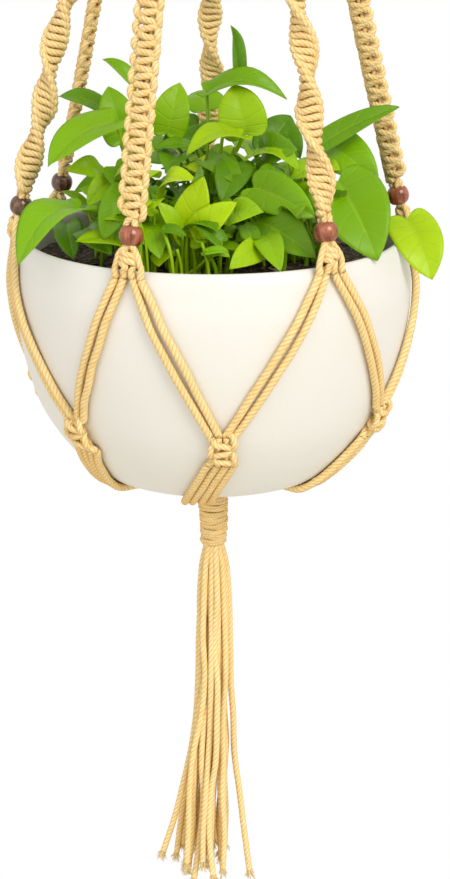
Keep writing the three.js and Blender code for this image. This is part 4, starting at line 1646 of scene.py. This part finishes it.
@dataclass
class Bowl:
    """The glazed bowl and the soil in it."""

    wall: BowlWall
    thickness: float = 5 * MM
    floor: float = 7 * MM
    segments: int = 128
    rings: int = 48
    spokes: int = 140
    waves: int = 12
    wave_number: float = 110.0
    crumbs: int = 700
    straws: int = 330

    def build(self, rng: np.random.Generator) -> None:
        """Makes the bowl and the soil."""
        self.shell()
        self.soil(rng)

    def shell(self) -> None:
        """Makes the bowl: outside, soft lip, inside and floor."""
        outer = [
            (float(r), float(z))
            for r, z in zip(self.wall.radius[::5], self.wall.height[::5])
            if r > POT_RADIUS * 0.6
        ]
        base = RIM_Z - POT_HEIGHT
        foot = [(0.0, base + 1 * MM), (POT_RADIUS * 0.52, base + 1 * MM), (POT_RADIUS * 0.56, base)]
        lip_radius = self.thickness * 0.42
        lip = []
        for angle in np.linspace(math.pi / 10, math.pi * 0.9, 9):
            away = POT_RADIUS - lip_radius + lip_radius * math.cos(angle)
            lip.append((away, RIM_Z - lip_radius + lip_radius * math.sin(angle)))
        climb = [(r, z) for r, z in outer[::-1] if z < RIM_Z - lip_radius * 1.2]
        inside = [(r - self.thickness, z) for r, z in climb[::-1] if z > base + self.floor + 8 * MM]
        last = inside[-1][0]
        end = [(last - 9 * MM, base + self.floor), (0.0, base + self.floor)]
        maker = MeshMaker()
        add_lathe(maker, [*foot, *climb, *lip, *inside, *end], self.segments)
        dress(maker.build("glazed_bowl"), GLAZE, "glazed_white", "bowl", "pot")

    def soil(self, rng: np.random.Generator) -> None:
        """Makes the soil with its uneven top, crumbs and dry bits."""
        top = RIM_Z - SOIL_DEPTH
        reach = POT_RADIUS - self.thickness - 0.6 * MM
        base = RIM_Z - POT_HEIGHT + self.floor + 12 * MM
        angles = np.linspace(0, TAU, self.spokes, endpoint=False)
        ring = np.stack([np.cos(angles), np.sin(angles)], axis=-1)
        radius = reach * (1 - np.arange(self.rings) / self.rings)
        x = radius[:, None] * ring[None, :, 0]
        y = radius[:, None] * ring[None, :, 1]
        lift = np.zeros_like(x)
        for along, across, phase, size in rng.normal(0.0, 1.0, (self.waves, 4)):
            swell = np.sin((along * x + across * y) * self.wave_number + phase * TAU)
            lift += swell * (0.4 + 0.2 * abs(size))
        rough = rng.uniform(-0.7, 0.7, x.shape) * (np.arange(self.rings) > 0)[:, None]
        z = top + 3 * MM * (1 - (radius / reach) ** 2)[:, None] + (lift * 0.5 + rough) * MM
        surface = np.stack([x, y, z], axis=-1).reshape(-1, 3)
        floor = np.hstack([0.62 * reach * ring, np.full((self.spokes, 1), base)])
        rows = self.rings + 1
        quads, row, column = Grid(rows, self.spokes, close_columns=True).quads()
        first = np.arange(self.spokes)[None, :]
        caps = [first[:, ::-1], (rows - 1) * self.spokes + first]
        plain = np.zeros((1, self.spokes, 2))
        uvs = [np.stack([column / self.spokes, row / rows], axis=-1), plain, plain]
        maker = MeshMaker()
        maker.add(np.vstack([floor, surface]), [quads, *caps], uvs, 1.0, 0.3)
        for _ in range(self.crumbs):
            stretch = vector(rng.uniform(0.8, 2.2), 1.0, rng.uniform(0.4, 0.9))
            self.crumb(maker, rng, top, reach, rng.uniform(0.7, 2.4) * MM, stretch, rng.uniform(0.2, 0.75))
        for _ in range(self.straws):
            stretch = vector(rng.uniform(4.0, 9.0), 1.0, 0.5)
            self.crumb(maker, rng, top, reach, rng.uniform(0.7, 1.3) * MM, stretch, rng.uniform(0.75, 1.0))
        dress(maker.build("potting_soil"), SOIL, "potting_soil", "bowl", "soil")

    def crumb(
        self,
        maker: MeshMaker,
        rng: np.random.Generator,
        top: float,
        reach: float,
        size: float,
        stretch: Line,
        tone: float,
    ) -> None:
        """Adds one crumb or dry bit to the soil's top.

        Args:
            maker: The soil's mesh.
            rng: The seeded source of chance.
            top: The height of the soil's edge.
            reach: The soil's radius.
            size: Half the crumb's middle width.
            stretch: Its proportions along, across and up.
            tone: Its shade, from 0 to 1.
        """
        distance = (reach - 9 * MM) * math.sqrt(rng.uniform())
        spot = polar(distance, rng.uniform(0, FULL_TURN), top + 3.8 * MM * (1 - (distance / reach) ** 2))
        corners = OCTAHEDRON * rng.uniform(0.6, 1.3, (6, 1)) * stretch * size
        heading = rng.uniform(0, TAU)
        turned = corners.copy()
        turned[:, 0] = corners[:, 0] * math.cos(heading) - corners[:, 1] * math.sin(heading)
        turned[:, 1] = corners[:, 0] * math.sin(heading) + corners[:, 1] * math.cos(heading)
        turned[:, 2] += turned[:, 0] * rng.uniform(-0.3, 0.3)
        uvs = np.zeros((*OCTAHEDRON_FACES.shape, 2))
        maker.add(turned + spot, [OCTAHEDRON_FACES], [uvs], 1.0, tone)


PLAIN_PLACE = (0.25, 0.5 / LeafFinish.side_veins)
STALK = CordKind(2.3 * MM, plies=1, groove=0.0, sides=8, step=3 * MM)
FACE_UP: Point = (0.0, -0.5, 1.0)
FACE_FRONT: Point = (0.0, -1.0, 0.55)
FACE_RIGHT: Point = (0.5, -0.9, 0.5)


@dataclass(frozen=True)
class Leaf:
    """A leaf in millimetres from the rim's middle.

    It has the place where the stalk meets the blade, the place of the tip, the blade's width,
    its tone from deep to yellow green, the way it faces, its fold along the midrib and its arch.
    """

    at: Point
    tip: Point
    width: float
    tone: float = 0.5
    face: Point = FACE_UP
    fold: float = 0.22
    arch: float = 0.12


Stem = tuple[tuple[float, float], tuple[Leaf, ...]]


@dataclass
class Plant:
    """The climbing plant: stems from the soil, stalks, and heart-shaped leaves."""

    stems: dict[str, Stem]
    across: int = 15
    along: int = 21
    thick: float = 0.4 * MM
    crowd: int = 13
    crowd_spread: float = 17.0
    crowd_height: float = 44.0
    crowd_reach: float = 62.0
    crowd_tip_reach: float = 84.0
    sprig_count: int = 26
    sprig_reach: float = 86 * MM
    sprig_tip_reach: float = 88.0

    def build(self, rng: np.random.Generator) -> None:
        """Makes one piece for each stem."""
        for name, (root, leaves) in self.stems.items():
            maker = MeshMaker()
            base = vector(root[0] * MM, root[1] * MM, RIM_Z - SOIL_DEPTH + 2 * MM)
            for leaf in leaves:
                self.stalk(maker, base, leaf, rng)
                self.blade(maker, leaf, rng)
            self.undergrowth(maker, root, rng)
            self.sprigs(maker, base, rng)
            dress(maker.build(f"{name}_leaves"), LEAF, "leaf_green", "bowl", name)

    def stalk(self, maker: MeshMaker, base: Line, leaf: Leaf, rng: np.random.Generator) -> None:
        """Adds a leaf's stalk, from the soil up to the blade."""
        end = vector(*leaf.at) * MM + vector(0, 0, RIM_Z)
        start = base + vector(*rng.uniform(-6.0, 6.0, 2), -1.0) * MM
        bend = start + (end - start) * 0.45
        bend[2] = start[2] + (end[2] - start[2]) * 0.72
        wander = vector(*rng.uniform(-1.5, 1.5, 3)) * MM
        line, _ = smooth_line([start, (start + bend) / 2 + wander, bend, end], STALK.step)
        add_cord(maker, line, STALK, rng.uniform(0.55, 0.8), 0.0, np.linspace(1.15, 0.75, len(line)))
        self.keep_plain(maker)

    @staticmethod
    def keep_plain(maker: MeshMaker) -> None:
        """Moves the last tube's surface places to a spot of the leaf finish that has no vein."""
        maker.uvs[-3:] = [np.broadcast_to(PLAIN_PLACE, block.shape) for block in maker.uvs[-3:]]

    def undergrowth(self, maker: MeshMaker, root: tuple[float, float], rng: np.random.Generator) -> None:
        """Adds the crowded smaller leaves that fill the plant between its larger ones."""
        for _ in range(self.crowd):
            place = vector(*root, 0.0) + vector(
                *rng.normal(0.0, self.crowd_spread, 2), rng.uniform(0.0, self.crowd_height)
            )
            place[:2] *= min(1.0, self.crowd_reach / math.hypot(place[0], place[1]))
            heading = rng.uniform(-2.6, -0.5)
            reach = rng.uniform(16.0, 27.0)
            tip = place + reach * vector(math.cos(heading), math.sin(heading), rng.uniform(-0.75, 0.55))
            facing = (rng.uniform(-0.5, 0.5), -0.8, rng.uniform(0.35, 1.1))
            shade = float(np.clip(rng.normal(0.55, 0.27), 0.02, 0.97))
            width = reach * rng.uniform(0.62, 0.85)
            fold = rng.uniform(0.1, 0.4)
            leaf = Leaf(tuple(place), tuple(tip), width, shade, facing, fold, rng.uniform(0.05, 0.3))
            if math.hypot(tip[0], tip[1]) < self.crowd_tip_reach:
                base = vector(place[0] * MM, place[1] * MM, RIM_Z - SOIL_DEPTH + 2 * MM)
                self.stalk(maker, base, leaf, rng)
                self.blade(maker, leaf, rng)

    def sprigs(self, maker: MeshMaker, base: Line, rng: np.random.Generator) -> None:
        """Adds the thin bare stems and small low leaves round a stem's foot."""
        for _ in range(self.sprig_count):
            start = base + vector(*rng.uniform(-24.0, 24.0, 2), -1.0) * MM
            lean = vector(*rng.uniform(-12.0, 12.0, 2), rng.uniform(14.0, 40.0)) * MM
            end = start + lean
            for spot in (start, end):
                away = math.hypot(spot[0], spot[1])
                if away > self.sprig_reach:
                    spot[:2] *= self.sprig_reach / away
            line, _ = smooth_line([start, start + (end - start) * vector(0.3, 0.3, 0.6), end], STALK.step)
            kind = CordKind(rng.uniform(1.3, 2.0) * MM, plies=1, groove=0.0, sides=6)
            add_cord(maker, line, kind, rng.uniform(0.5, 0.9))
            self.keep_plain(maker)
            local_end = (end - vector(0, 0, RIM_Z)) / MM
            heading = rng.uniform(0, TAU)
            reach = rng.uniform(9.0, 17.0)
            tip = local_end + reach * vector(math.cos(heading), math.sin(heading), rng.uniform(-0.3, 0.6))
            leaf = Leaf(tuple(local_end), tuple(tip), reach * rng.uniform(0.45, 0.7), rng.uniform(0.1, 0.85))
            if math.hypot(tip[0], tip[1]) < self.sprig_tip_reach:
                self.blade(maker, leaf, rng)

    def blade(self, maker: MeshMaker, leaf: Leaf, rng: np.random.Generator) -> None:
        """Adds a leaf's blade: heart-shaped, folded along its midrib, arched and softly waved."""
        at = vector(*leaf.at) * MM + vector(0, 0, RIM_Z)
        tip = vector(*leaf.tip) * MM + vector(0, 0, RIM_Z)
        length = float(np.linalg.norm(tip - at))
        forward = (tip - at) / length
        side = unit(np.cross(forward, vector(*leaf.face)))
        up = np.cross(side, forward)
        half = leaf.width * MM / 2
        t = np.linspace(0, 1, self.along)
        edge = self.outline(t)
        u = np.linspace(-1, 1, self.across)
        bend = np.abs(u) ** 1.2
        aside = u[None, :] * edge[:, 0:1] * half
        down = (t[:, None] ** 2.4 * (1 - bend) + edge[:, 1:2] * bend) * length
        spread = np.abs(aside) / half
        rise = leaf.fold * half * (1.6 * spread - 0.9 * spread**2)
        rise += leaf.arch * length * np.sin(math.pi * np.clip(down / length, 0, 1))
        ripple = rng.uniform(0, TAU, 2)
        wave = np.where(u > 0, ripple[0], ripple[1])
        rise += 0.05 * half * np.abs(u)[None, :] ** 3 * np.sin(11 * t[:, None] + wave[None, :])
        thin = np.ones_like(aside)
        thin[:, [0, -1]] = 0.25
        layers = []
        for face in (self.thick / 2, -self.thick / 2):
            height = rise + face * thin
            blade = at + side * aside[..., None] + forward * down[..., None] + up * height[..., None]
            layers.append(blade.reshape(-1, 3))
        self.close_blade(maker, layers, leaf.tone)

    @staticmethod
    def outline(t: Line) -> Line:
        """The blade's edge from the notch round a lobe to the tip, in half widths and lengths."""
        lobe = np.array([(0.02, 0.0), (0.42, -0.17), (1.0, -0.13), (1.0, 0.23)])
        point = np.array([(1.0, 0.23), (1.0, 0.66), (0.50, 0.87), (0.012, 1.0)])
        s = np.where(t < 0.5, t * 2, t * 2 - 1)[:, None]
        weights = ((1 - s) ** 3, 3 * s * (1 - s) ** 2, 3 * s**2 * (1 - s), s**3)
        first = sum(w * p for w, p in zip(weights, lobe))
        second = sum(w * p for w, p in zip(weights, point))
        return np.where((t < 0.5)[:, None], first, second)

    def close_blade(self, maker: MeshMaker, layers: list[Line], tone: float) -> None:
        """Joins the blade's upper and lower faces round their edge into a closed shell."""
        rows, columns = self.along, self.across
        size = rows * columns
        top, _, _ = Grid(rows, columns).quads()
        border = list(range(columns))
        border += [i * columns + columns - 1 for i in range(1, rows)]
        border += [(rows - 1) * columns + j for j in range(columns - 2, -1, -1)]
        border += [i * columns for i in range(rows - 2, 0, -1)]
        here = np.array(border)
        following = np.roll(here, -1)
        rim = np.stack([following, here, size + here, size + following], axis=1)
        polygons = [top, size + top[:, ::-1], rim]
        uvs = []
        for block in polygons:
            flat = block % size
            uvs.append(np.stack([flat % columns / (columns - 1), flat // columns / (rows - 1)], axis=-1))
        depth = np.concatenate([np.ones(size), np.zeros(size)])
        maker.add(np.vstack(layers), polygons, uvs, depth, tone)


STEMS: dict[str, Stem] = {
    "left_stem": (
        (-42, -12),
        (
            Leaf((-52, -18, 63), (-86, -42, 43), 25, 0.52, FACE_UP, 0.3, 0.14),
            Leaf((-60, 24, 64), (-87, 28, 71), 16, 0.2, FACE_UP, 0.3),
            Leaf((-42, 6, 80), (-60, 10, 93), 11, 0.45, FACE_UP, 0.4),
            Leaf((-49, 0, 51), (-57, 7, 79), 21, 0.5, FACE_FRONT),
            Leaf((-68, -50, 22), (-98, -86, 0), 27, 0.5, (-0.2, -0.5, 1.0), 0.3, 0.24),
            Leaf((-45, -56, 33), (-56, -70, 10), 17, 0.42, FACE_FRONT),
            Leaf((-78, -30, 10), (-73, -54, -4), 16, 0.12, FACE_FRONT),
            Leaf((-46, -62, 7), (-70, -70, 9), 14, 0.75, FACE_UP),
            Leaf((-70, -14, 17), (-58, -44, 14), 12, 0.2, FACE_UP),
            Leaf((-66, -38, 10), (-52, -66, 1), 20, 0.3, FACE_FRONT, 0.25, 0.16),
            Leaf((-50, -46, 14), (-36, -71, 3), 19, 0.36, FACE_FRONT, 0.25, 0.16),
            Leaf((-34, -50, 16), (-26, -76, 1), 18, 0.55, FACE_FRONT, 0.25, 0.16),
        ),
    ),
    "middle_stem": (
        (0, 8),
        (
            Leaf((13, 22, 82), (10, 26, 110), 11, 0.12, (0.75, -0.8, 0.1), 0.9, 0.05),
            Leaf((-3, 20, 74), (41, 8, 72), 18, 0.38, (0.0, -0.6, 1.0), 0.5, 0.22),
            Leaf((18, 0, 54), (12, 8, 80), 27, 0.72, FACE_FRONT, 0.15, 0.1),
            Leaf((-25, 10, 53), (-18, 16, 80), 21, 0.6, FACE_FRONT),
            Leaf((16, -8, 54), (-14, -30, 47), 17, 0.8, FACE_UP, 0.25, 0.22),
            Leaf((14, -16, 41), (5, -42, 24), 20, 0.15, FACE_FRONT),
            Leaf((-8, 25, 56), (-28, 14, 47), 16, 0.1, FACE_FRONT),
            Leaf((-10, 8, 46), (-32, -4, 46), 12, 0.25, FACE_UP),
            Leaf((-3, -14, 42), (16, -34, 31), 17, 0.3, FACE_UP),
        ),
    ),
    "front_stem": (
        (-14, -58),
        (
            Leaf((-14, -60, 9), (-4, -66, 42), 20, 0.95, FACE_FRONT, 0.2, 0.06),
            Leaf((-10, -64, 10), (13, -72, 30), 16, 0.92, FACE_FRONT, 0.3),
            Leaf((-26, -42, 26), (-8, -54, 38), 20, 0.97, FACE_UP, 0.2, 0.35),
            Leaf((-15, -62, 9), (-28, -66, 29), 12, 0.7, FACE_RIGHT),
            Leaf((27, -66, 6), (9, -89, -1), 15, 0.78, FACE_FRONT, 0.2, 0.1),
            Leaf((27, -62, 11), (35, -90, -2), 15, 0.6, FACE_FRONT, 0.2, 0.14),
            Leaf((2, -60, 4), (19, -72, 3), 8, 0.55, FACE_UP),
        ),
    ),
    "right_stem": (
        (46, -14),
        (
            Leaf((30, 15, 42), (44, 30, 60), 22, 0.06, FACE_FRONT),
            Leaf((38, 24, 54), (49, 10, 39), 16, 0.1, FACE_FRONT),
            Leaf((23, -10, 44), (47, -24, 38), 18, 0.66, (0.0, -0.3, 1.0), 0.2, 0.26),
            Leaf((24, -24, 34), (42, -34, 33), 12, 0.35, FACE_UP),
            Leaf((22, -36, 31), (54, -56, 19), 24, 0.5, FACE_FRONT, 0.25, 0.1),
            Leaf((24, -48, 15), (53, -80, 3), 24, 0.25, FACE_FRONT, 0.2, 0.12),
            Leaf((61, 2, 48), (90, -24, 30), 27, 0.5, FACE_FRONT, 0.2, 0.16),
            Leaf((67, -30, 33), (86, -68, -1), 40, 0.42, FACE_FRONT, 0.18, 0.1),
            Leaf((57, -12, 49), (101, -9, 70), 15, 0.25, (0.0, -0.8, 1.0), 0.35, 0.06),
            Leaf((106, -20, 11), (118, -44, -17), 28, 0.88, (0.15, -1.0, 0.35), 0.18, 0.1),
        ),
    ),
    "back_stem": (
        (-6, 54),
        (
            Leaf((-24, 56, 34), (-56, 76, 26), 30, 0.3),
            Leaf((14, 62, 38), (36, 88, 24), 30, 0.4),
            Leaf((-2, 56, 60), (-14, 78, 66), 24, 0.5),
            Leaf((40, 52, 22), (72, 62, 14), 26, 0.3),
            Leaf((-40, 44, 18), (-82, 48, 14), 26, 0.25),
            Leaf((6, 70, 22), (4, 96, 6), 28, 0.45, (0.0, 0.9, 0.6)),
            Leaf((-34, 66, 16), (-50, 84, 2), 24, 0.6, (-0.3, 0.9, 0.6)),
            Leaf((44, 60, 24), (58, 80, 6), 28, 0.5, (0.4, 0.8, 0.6)),
        ),
    ),
}


def main() -> None:
    """Builds the camera, then the cords, then everything that they carry."""
    logging.basicConfig(level=logging.INFO, format="%(name)s: %(message)s")
    Studio().build()
    Tassel().build()
    rng = np.random.default_rng(SEED)
    arms = [Arm(plan, index, rng) for index, plan in enumerate(ARMS)]
    for arm in arms:
        arm.build()
        Bead(arm).build()
    wall = BowlWall()
    Cradle(arms, wall, rng).build()
    Wrap("base_wrap", BASE_CORE_RADIUS + 0.4 * MM, 1.4 * MM).build(rng)
    Wrap("top_wrap", TOP_CORE_RADIUS, 0.0).build(rng)
    Crown().build(rng)
    Bowl(wall).build(rng)
    Plant(STEMS).build(rng)


if __name__ == "__main__":
    main()
